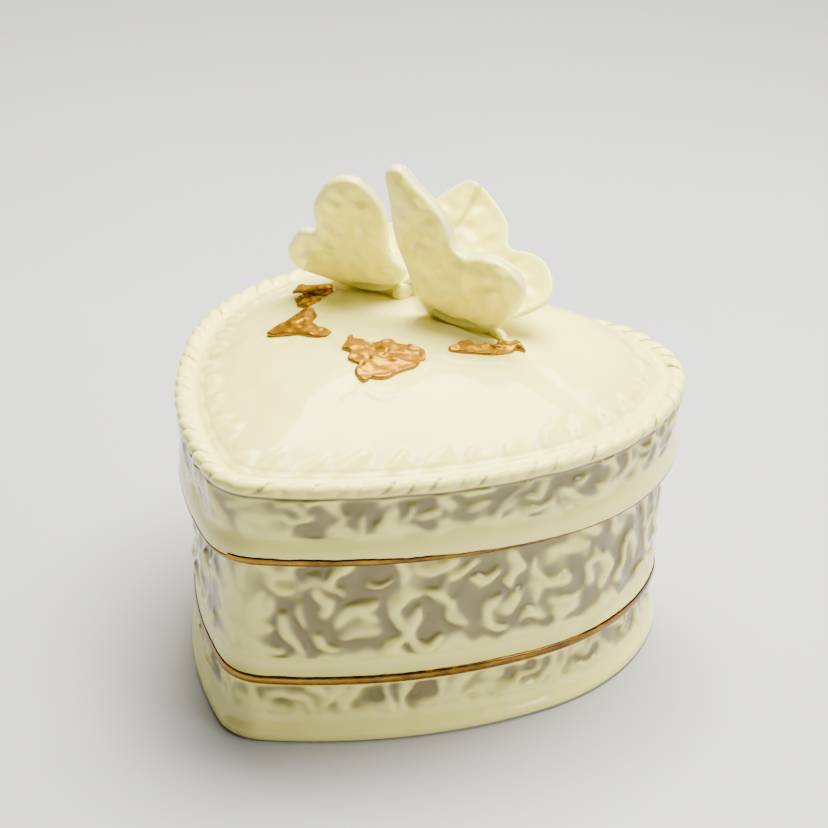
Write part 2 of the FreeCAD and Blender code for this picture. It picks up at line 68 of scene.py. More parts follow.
# Profiles: offset from the outline, height, spacing of the rows there.
BOX_PROFILE = [
    (-4.2, 1.5, .5), (-4.2, 0.3, .4), (-4.0, 0.0, .5), (-1.2, 0.0, .5), (-0.55, 0.12, .25),
    (-0.12, 0.55, .3), (0.0, 1.1, .35), (-0.06, 1.8, .4), (-0.45, 2.7, .4), (-0.9, 3.7, .4),
    (-1.3, 4.9, .42), (-1.62, 6.1, .42), (-1.98, 7.1, .42), (-2.1, 8.0, .42), (-2.05, 11.9, .42),
    (-1.95, 12.6, .25), (-1.45, 13.0, .2), (-0.95, 13.35, .2), (-0.74, 13.9, .25),
    (-0.72, 14.5, .3), (-0.88, 15.2, .35), (-1.22, 16.1, .4), (-1.48, 17.0, .4),
    (-1.62, 17.8, .35), (-1.6, 18.4, .3), (-1.32, 19.0, .3), (-1.05, 19.8, .42),
    (-1.0, 21.0, .42), (-1.0, 40.6, .42), (-1.12, 41.4, .3), (-1.5, 41.85, .25),
    (-2.0, 41.95, .4), (-2.9, 41.95, .4), (-3.25, 42.15, .3), (-3.3, 42.8, .8), (-3.3, 45.7, .8),
    (-3.5, 46.35, .3), (-3.95, 46.5, .3), (-4.55, 46.42, .3), (-4.95, 46.0, .5),
    (-5.0, 44.5, 1.5), (-5.0, 40.0, 4.0), (-5.0, 14.0, 4.0), (-5.0, 9.6, 1.4), (-5.0, 8.0, 1.0),
    (-5.35, 5.9, .8), (-6.3, 4.8, .8), (-7.6, 4.5, .8),
]
LID_PROFILE = [
    (-2.6, 53.0, 1.6), (-2.6, 43.2, 1.6), (-2.5, 42.25, .4), (-2.05, 42.0, .5), (0.9, 42.0, .5),
    (1.45, 42.12, .25), (1.82, 42.5, .3), (1.96, 43.1, .35), (1.93, 44.2, .45), (1.72, 45.4, .45),
    (1.42, 46.5, .42), (1.16, 47.5, .36), (1.06, 48.2, .3), (1.1, 48.8, .3), (1.3, 49.5, .36),
    (1.42, 50.4, .4), (1.8, 55.6, .4), (1.78, 56.4, .3), (1.72, 56.9, .22), (1.9, 57.25, .22),
    (2.2, 57.7, .25), (2.32, 58.3, .26), (2.2, 58.95, .26), (1.8, 59.45, .26), (1.15, 59.72, .26),
    (0.4, 59.72, .28), (-0.35, 59.45, .28), (-0.95, 59.12, .28), (-1.5, 58.98, .3),
    (-2.1, 59.1, .3), (-2.7, 59.4, .4),
]
# The gilt lines follow the lip of the lid and the skirt of the box, in finer rows.
GILT_STEP = 0.1
LIP_PROFILE = [(0.4, 42.0, .2)] + [(d, z, GILT_STEP) for d, z, _ in LID_PROFILE[4:10]]
SKIRT_PROFILE = [(d, z, GILT_STEP) for d, z, _ in BOX_PROFILE[15:23]]


# ------------------------------------------------------------------ curves
def smooth(start, end, x):
    """0 before start, 1 after end, eased between."""
    t = np.clip((np.asarray(x, float) - start) / (end - start), 0, 1)
    return t * t * (3 - 2 * t)


class Heart:
    """Points round the outline from the notch, clockwise seen from above (towards +X first).
    Each lies at centre + direction * (radius + sign * offset)."""

    def __init__(self, count):
        def bearing(a, b):
            return math.atan2(b[1] - a[1], b[0] - a[0])

        to_tip, to_shoulder = bearing(SIDE, TIP), bearing(SIDE, SHOULDER)
        to_lobe, to_notch = bearing(SHOULDER, LOBE), bearing(LOBE, NOTCH)
        # centre, radius, first and last bearing, and -1 where the arc is hollow
        arcs = [(NOTCH, NOTCH_R, -math.pi / 2, to_notch - math.pi, -1.0),
                (LOBE, LOBE_R, to_notch, to_lobe, 1.0),
                (SHOULDER, SHOULDER_R, to_lobe, to_shoulder, 1.0),
                (SIDE, SIDE_R, to_shoulder, to_tip, 1.0),
                (TIP, TIP_R, to_tip, -math.pi / 2, 1.0)]
        lengths = [abs(last - first) * r for _, r, first, last, _ in arcs]
        half = sum(lengths)
        self.length = 2 * half
        self.run = np.arange(count) / count * 2 * half
        self.from_tip = np.abs(self.run - self.length / 2)
        self.centre, self.direction = np.zeros((count, 2)), np.zeros((count, 2))
        self.radius, self.sign = np.zeros(count), np.zeros(count)
        for i, run in enumerate(self.run):
            side = -1 if run > half else 1
            left = 2 * half - run if run > half else run
            for (centre, radius, first, last, sign), length in zip(arcs, lengths):
                if left <= length + 1e-9:
                    break
                left -= length
            angle = first + (last - first) * left / length
            self.centre[i] = side * centre[0], centre[1]
            self.direction[i] = side * math.cos(angle), math.sin(angle)
            self.radius[i], self.sign[i] = radius, sign

    def ring(self, offset):
        return self.centre + self.direction * (self.radius + self.sign * offset)[:, None]

    def level(self, offset, z):
        return np.c_[self.ring(offset), np.broadcast_to(z, len(self.run))]


def pchip(x, y, at):
    """Monotone cubic through points, so that a profile keeps its flats and corners."""
    x, y = np.asarray(x, float), np.asarray(y, float)
    gap = np.diff(x)
    slope = np.diff(y) / gap
    d = np.zeros_like(y)
    for i in range(1, len(x) - 1):
        if slope[i - 1] * slope[i] > 0:
            w1, w2 = 2 * gap[i] + gap[i - 1], gap[i] + 2 * gap[i - 1]
            d[i] = (w1 + w2) / (w1 / slope[i - 1] + w2 / slope[i])
    d[0], d[-1] = slope[0], slope[-1]
    k = np.clip(np.searchsorted(x, at) - 1, 0, len(x) - 2)
    t = (at - x[k]) / gap[k]
    return ((1 + 2 * t) * (1 - t) ** 2 * y[k] + t * (1 - t) ** 2 * gap[k] * d[k]
            + t * t * (3 - 2 * t) * y[k + 1] + t * t * (t - 1) * gap[k] * d[k + 1])


def run_along(points):
    """Distance along a path at each of its points."""
    return np.concatenate([[0], np.cumsum(np.hypot(*np.diff(points, axis=0).T))])


def profile(stations):
    """Resamples (offset, height, spacing) stations along their length."""
    p = np.array(stations, float)
    run = run_along(p[:, :2])
    out = [0.0]
    while out[-1] < run[-1] - 1e-6:
        out.append(out[-1] + float(np.interp(out[-1], run, p[:, 2])))
    out = np.array(out) * run[-1] / out[-1]
    return np.c_[pchip(run, p[:, 0], out), pchip(run, p[:, 1], out)]


def path_distance2(x, y, path):
    """Squared distance from each x, y to a path of straight runs."""
    best = np.full(x.shape, 1e9)
    for a, b in zip(path[:-1], path[1:]):
        ab = b - a
        t = np.clip(((x - a[0]) * ab[0] + (y - a[1]) * ab[1]) / (ab @ ab), 0, 1)
        best = np.minimum(best, (x - a[0] - t * ab[0]) ** 2 + (y - a[1] - t * ab[1]) ** 2)
    return best


# ------------------------------------------------------------------ relief fields
class Field:
    """A grid of values that repeats in both directions, read smoothly at any x, y."""

    def __init__(self, values, dx, dy):
        self.values, self.dx, self.dy = values, dx, dy

    @staticmethod
    def weights(t):
        return [((-t + 2) * t - 1) * t / 2, ((3 * t - 5) * t * t + 2) / 2,
                ((-3 * t + 4) * t + 1) * t / 2, (t - 1) * t * t / 2]

    def __call__(self, x, y):
        nx, ny = self.values.shape
        fx, fy = np.asarray(x) / self.dx, np.asarray(y) / self.dy
        i, j = np.floor(fx).astype(int), np.floor(fy).astype(int)
        wx, wy = self.weights(fx - i), self.weights(fy - j)
        out = 0.0
        for a in range(4):
            for b in range(4):
                out = out + wx[a] * wy[b] * self.values[(i + a - 1) % nx, (j + b - 1) % ny]
        return out


def noise_field(nx, ny, dx, dy, shortest, longest, seed):
    """Smooth noise with wavelengths between shortest and longest, zero mean, unit spread."""
    spectrum = np.fft.fft2(np.random.RandomState(seed).randn(nx, ny))
    kx, ky = np.meshgrid(np.fft.fftfreq(nx, dx), np.fft.fftfreq(ny, dy), indexing="ij")
    k = np.hypot(kx, ky)
    spectrum *= np.exp(-(k * shortest) ** 2) * (1 - np.exp(-(k * longest) ** 2))
    z = np.real(np.fft.ifft2(spectrum))
    return Field((z - z.mean()) / z.std(), dx, dy)


class Wall:
    """Relief round a heart: fields whose x runs along the outline and whose y is height."""
    TRIES, JOINTS = 16000, 7          # scrolls tried, straight runs in each
    WANDER = 0.42                     # how far the ridges stray sideways
    AROUND = ((0, 0), (0.7, 0), (-0.7, 0), (0, 0.7), (0, -0.7),
              (0.5, 0.5), (-0.5, 0.5), (0.5, -0.5), (-0.5, -0.5))

    def __init__(self, heart, warp_seeds, soft_seed):
        self.heart = heart
        self.columns = int(round(heart.length / CELL))
        self.dx = heart.length / self.columns
        self.warps = [self.noise(6.0, 16.0, seed) for seed in warp_seeds]
        self.soft = self.noise(7.0, 40.0, soft_seed)

    def noise(self, shortest, longest, seed):
        return noise_field(self.columns, WALL_CELLS, self.dx, CELL, shortest, longest, seed)

    def scrolls(self, bottom, top, seed, length, width, join, gap):
        """Short curved ridges scattered over the wall. A share of them, join, may branch off
        others; the rest keep gap widths clear."""
        r = np.random.RandomState(seed)
        nx, ny, dx, dy, n = self.columns, WALL_CELLS, self.dx, CELL, self.JOINTS
        height, taken = np.zeros((nx, ny)), np.zeros((nx, ny))
        for _ in range(self.TRIES):
            x, y, a = r.uniform(0, nx * dx), r.uniform(bottom, top), r.uniform(0, 2 * math.pi)
            bend, long = r.uniform(-0.32, 0.32), r.uniform(*length)
            wide, amp = width * r.uniform(0.8, 1.2), r.uniform(0.72, 1.0)
            path = [(x, y)]
            for _k in range(n):
                a += bend * long / n
                x, y = x + math.cos(a) * long / n, y + math.sin(a) * long / n
                path.append((x, y))
            p = np.array(path)
            if p[:, 1].min() < bottom or p[:, 1].max() > top:
                continue
            ix = np.round(p[:, 0] / dx).astype(int) % nx
            iy = np.clip(np.round(p[:, 1] / dy).astype(int), 0, ny - 1)
            branch = r.uniform() < join
            if taken[ix, iy][3 if branch else 0:].max() > 0.5:
                continue
            margin = 3.2 * wide
            lo, hi = p.min(0) - margin, p.max(0) + margin
            gx = np.arange(int(lo[0] / dx) - 1, int(hi[0] / dx) + 2)
            gy = np.arange(max(0, int(lo[1] / dy)), min(ny, int(hi[1] / dy) + 2))
            near = path_distance2(*np.meshgrid(gx * dx, gy * dy, indexing="ij"), p)
            patch = np.ix_(gx % nx, gy)
            claimed = (near < (gap * wide) ** 2).astype(float)
            taken[patch] = np.maximum(taken[patch], claimed)
            height[patch] = np.maximum(height[patch], amp * np.exp(-near / wide ** 2))
        for _ in range(4):
            height = 0.5 * height + 0.25 * (np.roll(height, 1, 0) + np.roll(height, -1, 0))
            height[:, 1:-1] = 0.5 * height[:, 1:-1] + 0.25 * (height[:, :-2] + height[:, 2:])
        return Field(height, dx, dy)

    def relief(self, ridges, z, bottom, top, amp, fade, calm):
        """Height of the scrolls between bottom and top, worn soft under the glaze, and the glaze
        pooling with painted shade between them. calm is the share left at the heart's point."""
        run = self.heart.run[None, :]
        stray_x, stray_z, swell = (warp(run, z) for warp in self.warps)
        along, up = run + self.WANDER * stray_x, z + self.WANDER * stray_z
        ridge = ridges(along, up) * np.clip(0.88 + 0.16 * swell, 0.4, 1.25) + 0.035 * stray_x
        # the ground between the ridges is sunk, with an uneven lower edge
        edge = 0.9 * self.soft(run, 5.0)
        ground = (smooth(bottom - 0.6 + edge, bottom + 3.4 + edge, z)
                  * (1 - smooth(top - 1.8, top + 0.2, z)))
        # glaze pooling with painted shade and dark reflection on the ground between the ridges
        spread = sum(ridges(along + dx, up + dz) for dx, dz in self.AROUND) / len(self.AROUND)
        soft = self.soft(run, z)
        pool_shade = ground * (1 - smooth(-0.05, 0.85, spread)) * np.clip(0.92 + 0.18 * soft, 0.6, 1.1)
        worn = 0.9 + 0.1 * np.clip(soft, -1.6, 1.6)
        mask = smooth(bottom, bottom + fade, z) * (1 - smooth(top - fade, top, z))
        off_tip = calm + (1 - calm) * smooth(3.0, 12.0, self.heart.from_tip)
        height = (amp * (ridge - 0.30 * ground) * worn + 0.07 * soft) * mask * off_tip
        return height, pool_shade * mask * (0.35 + 0.65 * off_tip)


# ------------------------------------------------------------------ mesh helpers
def new_object(name, verts, faces, attrs=None):
    """A smooth-shaded object from points in millimetres, its faces turned outwards."""
    verts = np.asarray(verts, float)
    volume = 0.0
    for size in (3, 4):
        f = np.array([q for q in faces if len(q) == size], int).reshape(-1, size)
        for k in range(1, size - 1):
            normal = np.cross(verts[f[:, k]], verts[f[:, k + 1]])
            volume += np.einsum("ij,ij->", verts[f[:, 0]], normal)
    if volume < 0:
        faces = [tuple(reversed(q)) for q in faces]
    mesh = bpy.data.meshes.new(name)
    mesh.from_pydata((verts * MM).tolist(), [], faces)
    mesh.validate(clean_customdata=False)
    mesh.polygons.foreach_set("use_smooth", [True] * len(mesh.polygons))
    for key, values in (attrs or {}).items():
        attribute = mesh.attributes.new(key, "FLOAT", "POINT")
        attribute.data.foreach_set("value", np.asarray(values, np.float32))
    mesh.update()
    return link(name, mesh)


def link(name, data):
    obj = bpy.data.objects.new(name, data)
    bpy.context.scene.collection.objects.link(obj)
    return obj


def new_sheet_object(name, verts, faces, attrs):
    """new_object without the points that no face uses."""
    keep = np.zeros(len(verts), bool)
    keep[np.array([k for f in faces for k in f])] = True
    remap = np.cumsum(keep) - 1
    faces = [tuple(int(remap[k]) for k in f) for f in faces]
    return new_object(name, verts[keep], faces, {key: v[keep] for key, v in attrs.items()})


def grid_faces(rows, n, flip, wrap=False):
    """Quads between rows of n points that close on themselves; wrap joins last row to first."""
    i = np.arange(rows if wrap else rows - 1)[:, None]
    j = np.arange(n)[None, :]
    above, k = (i + 1) % rows, (j + 1) % n
    a, b, c, d = i * n + j, i * n + k, above * n + k, above * n + j
    return np.stack([a, d, c, b] if flip else [a, b, c, d], -1).reshape(-1, 4).tolist()


def ring_solid(name, rings, first, last, attrs, flip):
    """A solid of rings, closed by a fan to the point first and another to the point last.
    attrs gives (values on the rings, value at first, value at last)."""
    rows, n = rings.shape[:2]
    faces = grid_faces(rows, n, flip)
    first_at, last_at, top = rows * n, rows * n + 1, (rows - 1) * n
    pairs = [(j, (j + 1) % n) if flip else ((j + 1) % n, j) for j in range(n)]
    faces += [(first_at, a, b) for a, b in pairs]
    faces += [(last_at, top + b, top + a) for a, b in pairs]
    values = {key: np.concatenate([np.broadcast_to(grid, (rows, n)).ravel(), [low, high]])
              for key, (grid, low, high) in attrs.items()}
    return new_object(name, np.vstack([rings.reshape(-1, 3), [first], [last]]), faces, values)


def grid_normals(rings):
    """Outward normals of rings whose rows run from the underside up the outside."""
    du = np.roll(rings, -1, 1) - np.roll(rings, 1, 1)
    normals = np.cross(np.gradient(rings, axis=0), du)
    return normals / (np.linalg.norm(normals, axis=2)[:, :, None] + 1e-12)


def shrunk(xy, share, z):
    """A level ring drawn in towards the middle of the dome."""
    return np.c_[DOME_CENTRE + share * (xy - DOME_CENTRE), np.full(len(xy), z)]


# ------------------------------------------------------------------ the dome of the lid
def crown(share):
    """Height of the dome at a share of the way from its middle to its rim."""
    return DOME_RIM_Z + DOME_RISE * (1 - share ** DOME_POWER)


_rim = Heart(2400).ring(DOME_RIM_OFFSET) - DOME_CENTRE
_bearing = np.arctan2(_rim[:, 1], _rim[:, 0])
_order = np.argsort(_bearing)
RIM_BEARING, RIM_REACH = _bearing[_order], np.hypot(_rim[:, 0], _rim[:, 1])[_order]


def dome_z(x, y):
    y = y - DOME_CENTRE[1]
    reach = np.interp(np.arctan2(y, x), RIM_BEARING, RIM_REACH, period=2 * np.pi)
    return crown(np.clip(np.hypot(x, y) / reach, 0, 1))


def dome_normal(x, y, e=0.25):
    gx = (dome_z(x + e, y) - dome_z(x - e, y)) / (2 * e)
    gy = (dome_z(x, y + e) - dome_z(x, y - e)) / (2 * e)
    n = np.stack([-gx, -gy, np.ones_like(gx)], -1)
    return n / np.linalg.norm(n, axis=-1)[..., None]


# ------------------------------------------------------------------ the box casting
def make_box():
    heart = Heart(BOX_COLUMNS)
    wall = Wall(heart, warp_seeds=(301, 302, 303), soft_seed=5)
    wall_ridges = wall.scrolls(bottom=19.8, top=41.2, seed=21, length=(4.0, 11.0), width=1.0,
                               join=0.6, gap=2.8)
    foot_ridges = wall.scrolls(bottom=6.0, top=13.0, seed=33, length=(3.0, 8.0), width=0.86,
                               join=0.5, gap=2.5)
    stations = profile(BOX_PROFILE)
    rings = np.array([heart.level(d, z) for d, z in stations])
    z = stations[:, 1:]
    outside = ((np.arange(len(stations)) > 3) & (stations[:, 0] > -2.6))[:, None]
    wall_height, wall_pool_shade = wall.relief(wall_ridges, z, bottom=18.8, top=41.8, amp=1.2,
                                         fade=0.8, calm=0.18)
    foot_height, foot_pool_shade = wall.relief(foot_ridges, z, bottom=5.2, top=13.0, amp=1.1,
                                         fade=0.9, calm=0.35)
    # slight unevenness of a slip casting, left off the foot's edge and the skirt
    casting = (0.05 * wall.soft(heart.run[None, :], z) * smooth(1.2, 3.0, z)
               * (1 - smooth(12.5, 13.2, z) * (1 - smooth(17.0, 19.0, z))))
    height = (wall_height + foot_height + casting) * outside
    # painted shade and glaze pooling darken the colour through the relief attribute
    relief = -(wall_pool_shade + foot_pool_shade) * outside
    rings = rings + grid_normals(rings) * height[:, :, None]
    # nothing stands up into the seat of the lid
    level = rings[:, :, 2]
    rings[:, :, 2] = np.where(z > 41.0, np.minimum(level, np.maximum(z, BOX_SEAT_Z)), level)

    under = np.array([shrunk(rings[0][:, :2], share, UNDER_Z + UNDER_ARCH * (1 - share))
                      for share in (0.2, 0.5, 0.8)])
    inside = np.array([shrunk(rings[-1][:, :2], share, FLOOR_Z) for share in (0.8, 0.5, 0.2)])
    rings = np.concatenate([under, rings, inside], 0)
    # the foot and the underside are bare of glaze
    row, z = np.arange(len(rings))[:, None], rings[:, :, 2]
    bare = (row < len(under) + 9) & ((z < 0.35) | (z < 1.7) & (row < len(under) + 3))
    relief = np.pad(relief, ((len(under), len(inside)), (0, 0)))
    return ring_solid("box_casting", rings, (*DOME_CENTRE, UNDER_Z + UNDER_ARCH),
                      (*DOME_CENTRE, FLOOR_Z), {"relief": (relief, 0, 0), "bare": (bare, 1, 0)},
                      flip=True)


# ------------------------------------------------------------------ the lid casting
# rings of the dome, as shares of its rim
DOME_SHARES = np.concatenate([np.linspace(0.992, 0.80, 20), np.linspace(0.785, 0.30, 34),
                              np.linspace(0.27, 0.03, 7)])
ROOF_SHARES = (0.1, 0.35, 0.6, 0.8, 0.95)
ROOF_EDGE_Z = 56.3
INSIDE_ROWS = 12     # first rows of the profile, which stay plain
ROPE_LOBES, SHELLS = 70, 38
OFF = -9.0           # stands for "nowhere near the band of shells"

# Raised stems on the dome: path (x, y), height, width.
STEMS = [
    ([(11.9, 0.7), (13.1, -0.7), (15.0, -0.7), (17.2, 0.4), (19.3, 2.0), (21.5, 4.0),
      (23.0, 6.1)], 0.42, 0.75),
    ([(6.2, -24.3), (7.0, -22.7), (7.1, -20.8), (7.5, -19.8), (8.8, -19.8), (10.4, -20.0),
      (12.2, -19.2), (13.5, -17.0), (14.1, -15.1)], 0.36, 0.7),
    ([(-23.5, -5.5), (-24.8, -7.5), (-25.9, -9.4), (-26.4, -10.8)], 0.30, 0.6),
    ([(4.2, 8.6), (6.3, 9.1), (9.1, 9.7), (12.4, 9.7), (15.3, 9.6), (17.2, 10.4)], 0.55, 1.3),
    ([(12.8, -6.2), (12.6, -3.5), (12.4, -0.4)], 0.34, 0.8),
    ([(-11.2, -5.6), (-8.2, -7.3), (-5.0, -9.6)], 0.32, 0.75),
    ([(-23.4, 3.3), (-22.7, 5.5), (-22.6, 9.4), (-22.3, 12.5)], 0.36, 0.8),
]


def stem_height(x, y):
    h = np.zeros_like(x)
    for path, amp, width in STEMS:
        near = path_distance2(x, y, np.array(path))
        h = np.maximum(h, amp * np.exp(-near / (2 * (0.5 * width) ** 2)))
    return h


def rope_edge(stations, rows, wall):
    """Height and mask of the slanted lobes that roll over the rim."""
    offset, z = stations.T
    first = int(np.argmax((z > 57.0) & (offset > 1.6)))
    last = int(np.argmax((offset < -1.25) & (z > 58.5)))
    run = run_along(stations)
    across = np.full(rows, 9.0)
    across[:len(stations)] = (run - run[first]) / (run[last] - run[first])
    turn, soft = wall.heart.run[None, :] / wall.heart.length, wall.soft
    jitter = 0.075 * soft(wall.heart.run, 10.0)
    phase = math.pi * (ROPE_LOBES * turn + 0.85 * across[:, None] + jitter)
    lobe = (np.sin(phase) ** 2 + 0.012) ** 0.42 - 0.55
    mask = (smooth(0.0, 0.16, across) * (1 - smooth(0.8, 1.0, across)))[:, None]
    return 0.72 * lobe * mask * (0.85 + 0.22 * soft(wall.heart.run, 44.0)), mask


def shell_band(inner, wall):
    """Height of the feathered shells on the dome's shoulder, where they lie, and their humps.
    inner is the distance in from the rope, one value a row."""
    run, inner = wall.heart.run, inner[:, None]
    across = (inner - 0.3) / 5.0
    jitter = 0.10 * wall.soft(run, 31.0)
    phase = SHELLS * run[None, :] / wall.heart.length + 0.30 * across + jitter
    hump = (np.sin(math.pi * phase) ** 2 + 0.01) ** 0.95
    side_hump = (np.sin(math.pi * (2.0 * phase + 0.3 + 0.25 * across)) ** 2 + 0.03) ** 0.6
    edge = 1.5 + 2.1 * hump + 0.6 * side_hump + 0.35 * wall.soft(run, 20.0)
    band = smooth(-0.9, 0.9, inner) * (1 - smooth(-1.1, 0.9, inner - edge))
    zone = smooth(-0.6, 0.9, inner) * (1 - smooth(0.0, 1.8, inner - edge))
    return band * (0.16 + 0.56 * hump + 0.15 * side_hump), zone, hump


def make_lid():
    heart = Heart(LID_COLUMNS)
    wall = Wall(heart, warp_seeds=(304, 305, 306), soft_seed=8)
    ridges = wall.scrolls(bottom=48.2, top=57.0, seed=47, length=(3.0, 8.0), width=0.88,
                          join=0.5, gap=2.5)
    stations = profile(LID_PROFILE)
    rim = heart.ring(DOME_RIM_OFFSET)
    rings = np.array([heart.level(d, z) for d, z in stations]
                     + [shrunk(rim, share, crown(share)) for share in DOME_SHARES])
    normals = grid_normals(rings)
    rows, wall_count = len(rings), len(stations)
    x, y, z = rings[:, :, 0], rings[:, :, 1], rings[:, :1, 2].copy()
    row = np.arange(rows)[:, None]
    outer = row >= INSIDE_ROWS
    wall_rows = (row < wall_count) & outer

    height, pool_shade = wall.relief(ridges, z, bottom=47.4, top=57.2, amp=1.05, fade=0.9, calm=0.4)
    rope, rope_mask = rope_edge(stations, rows, wall)
    share = np.concatenate([np.ones(wall_count), DOME_SHARES])
    inner = (1 - share) * 45.0
    offset = stations[:, 0]
    inner[:wall_count] = np.where(offset < -1.3, (-1.5 - offset) * 0.9 - 1.2, OFF)
    inner[:INSIDE_ROWS] = OFF
    shells, shell_zone, hump = shell_band(inner, wall)
    # hand-finished unevenness of the wall and the dome
    lip_uneven = 0.05 * wall.soft(heart.run[None, :], z) * wall_rows * smooth(45.5, 47.5, z)
    dome_soft = noise_field(300, 300, 0.5, 0.5, 9.0, 45.0, 15)
    dome_fine = noise_field(300, 300, 0.5, 0.5, 5.0, 14.0, 16)
    uneven = smooth(2.5, 9.0, inner)[:, None] * (0.11 * dome_soft(x + 75, y + 75)
                                                 + 0.02 * dome_fine(x + 75, y + 75))
    height = (height * wall_rows + rope + shells + lip_uneven) * outer + uneven
    height[wall_count:] += stem_height(x[wall_count:], y[wall_count:])

    # glaze pooling and painted shade on the wall; elsewhere the modelled height, so lows darken
    relief = np.where(wall_rows & (z < 57.0), -pool_shade, height - 0.8 * uneven)
    # glaze pooling and painted shade in the grooves of the rope and between the shells
    relief = np.where(rope_mask > 0.02, 2.1 * relief - 0.06, relief)
    relief = relief * (1 - 0.6 * shell_zone) - 0.46 * shell_zone * (1 - np.clip(hump, 0, 1))
    # and glaze pooling with painted shade in the angle under the rope
    relief -= 0.75 * np.exp(-((z - 56.85) / 0.35) ** 2) * wall_rows

    # the shoulder is fuller over the right lobe, at the back
    swell = smooth(0.42, 0.76, share) * (1 - smooth(0.84, 0.985, share))
    rings[:, :, 2] += 1.35 * smooth(-6, 14, x) * smooth(6, 26, y) * swell[:, None]
    rings = rings + normals * height[:, :, None]
    rings[:wall_count, :, 2] = np.maximum(rings[:wall_count, :, 2], LID_SEAT_Z)
    # the face the lid rests on is wiped clean of glaze
    bare = (row >= 2) & (row < wall_count) & (rings[:, :, 2] < LID_SEAT_Z + 0.06)

    roof = np.array([shrunk(rim, s, crown(s) - LID_THICKNESS) for s in ROOF_SHARES])
    roof[-1][:, 2] = ROOF_EDGE_Z
    pad = ((len(roof), 0), (0, 0))
    return ring_solid("lid_casting", np.concatenate([roof, rings], 0),
                      (*DOME_CENTRE, crown(0.0) - LID_THICKNESS),
                      (*DOME_CENTRE, crown(0.0) + height[-1].mean()),
                      {"relief": (np.pad(relief, pad), 0, 0), "bare": (np.pad(bare, pad), 0, 0)},
                      flip=True)


# ------------------------------------------------------------------ the gilt lines
GILT_LIFT, GILT_SINK, GILT_ROWS = 0.16, 0.14, 7


def make_ribbon(name, heart, stations, low, high):
    """A closed thin ribbon that lies on a profile between two edges, low and high, measured
    along the profile."""
    path = profile(stations)
    run = run_along(path)

    def at(t):
        return np.interp(t, run, path[:, 0]), np.interp(t, run, path[:, 1])

    front, back = [], []
    e = 0.06
    for k in range(GILT_ROWS):
        t = low + (high - low) * k / (GILT_ROWS - 1)
        d, z = at(t)
        (d1, z1), (d0, z0) = at(t + e), at(t - e)
        length = np.hypot(d1 - d0, z1 - z0) + 1e-9
        out_d, out_z = (z1 - z0) / length, -(d1 - d0) / length
        bulge = GILT_LIFT * (0.35 + 0.65 * math.sin(math.pi * k / (GILT_ROWS - 1)))
        front.append(heart.level(d + out_d * bulge, z + out_z * bulge))
        back.append(heart.level(d - out_d * GILT_SINK, z - out_z * GILT_SINK))
    rings = np.array(front + back[::-1])
    faces = grid_faces(len(rings), len(heart.run), flip=True, wrap=True)
    return new_object(name, rings.reshape(-1, 3), faces)


def make_gilding():
    heart = Heart(GILT_COLUMNS)
    # brush wobble along the line: shortest and longest wavelength, seed
    wave, slow, quick = (noise_field(GILT_COLUMNS, 4, 0.325, 1.0, *spec).values[:, 0]
                         for spec in ((5.0, 40.0, 91), (6.0, 60.0, 92), (2.0, 60.0, 93)))
    # on the lip the line is widest near the point and thin along the sides
    tip = heart.from_tip
    width = np.where(heart.run < heart.length / 2, 2.15 - 1.35 * smooth(14, 78, tip),
                     1.45 - 0.6 * smooth(8, 60, tip))
    lip = make_ribbon("lid_gilding", heart, LIP_PROFILE, low=0.45 + 0.03 * slow,
                      high=0.85 + width + 0.05 * wave + 0.03 * quick)
    band = make_ribbon("box_gilding", heart, SKIRT_PROFILE, low=0.98 + 0.04 * wave,
                       high=3.30 + 0.04 * slow + 0.02 * quick)
    return lip, band


# ------------------------------------------------------------------ sheets cut from an outline
def closed_curve(points, step, corners=False):
    """Dense closed outline through the points; corners pulls it towards straight runs."""
    p = np.array(points, float)
    n = len(p)
    out = []
    for i in range(n):
        p0, p1, p2, p3 = p[i - 1], p[i], p[(i + 1) % n], p[(i + 2) % n]
        k = max(2, int(round(np.linalg.norm(p2 - p1) / step)))
        t = (np.arange(k) / k)[:, None]
        q = 0.5 * (2 * p1 + (p2 - p0) * t + (2 * p0 - 5 * p1 + 4 * p2 - p3) * t ** 2
                   + (3 * p1 - p0 - 3 * p2 + p3) * t ** 3)
        if corners:
            q = 0.62 * (p1 + (p2 - p1) * t) + 0.38 * q
        out.append(q)
    out = np.vstack(out)
    for _ in range(2):
        out = 0.5 * out + 0.25 * (np.roll(out, 1, 0) + np.roll(out, -1, 0))
    seg = np.linalg.norm(np.roll(out, -1, 0) - out, axis=1)
    run = np.concatenate([[0], np.cumsum(seg)])
    m = int(round(run[-1] / step))
    at = np.arange(m) / m * run[-1]
    out = np.vstack([out, out[:1]])
    return np.c_[np.interp(at, run, out[:, 0]), np.interp(at, run, out[:, 1])]


def edge_distance(points, outline):
    """Distance from each point to the closed outline, positive inside."""
    ends = np.roll(outline, -1, 0)
    best = np.full(len(points), 1e9)
    inside = np.zeros(len(points), bool)
    for a, b in zip(outline, ends):
        ab = b - a
        ap = points - a
        t = np.clip((ap @ ab) / (ab @ ab + 1e-12), 0, 1)
        gap = ap - t[:, None] * ab
        best = np.minimum(best, (gap ** 2).sum(1))
        if a[1] != b[1]:
            crossed = (a[1] > points[:, 1]) != (b[1] > points[:, 1])
            x = a[0] + (points[:, 1] - a[1]) / (b[1] - a[1]) * ab[0]
            inside ^= crossed & (points[:, 0] < x)
    return np.sqrt(best) * np.where(inside, 1, -1)


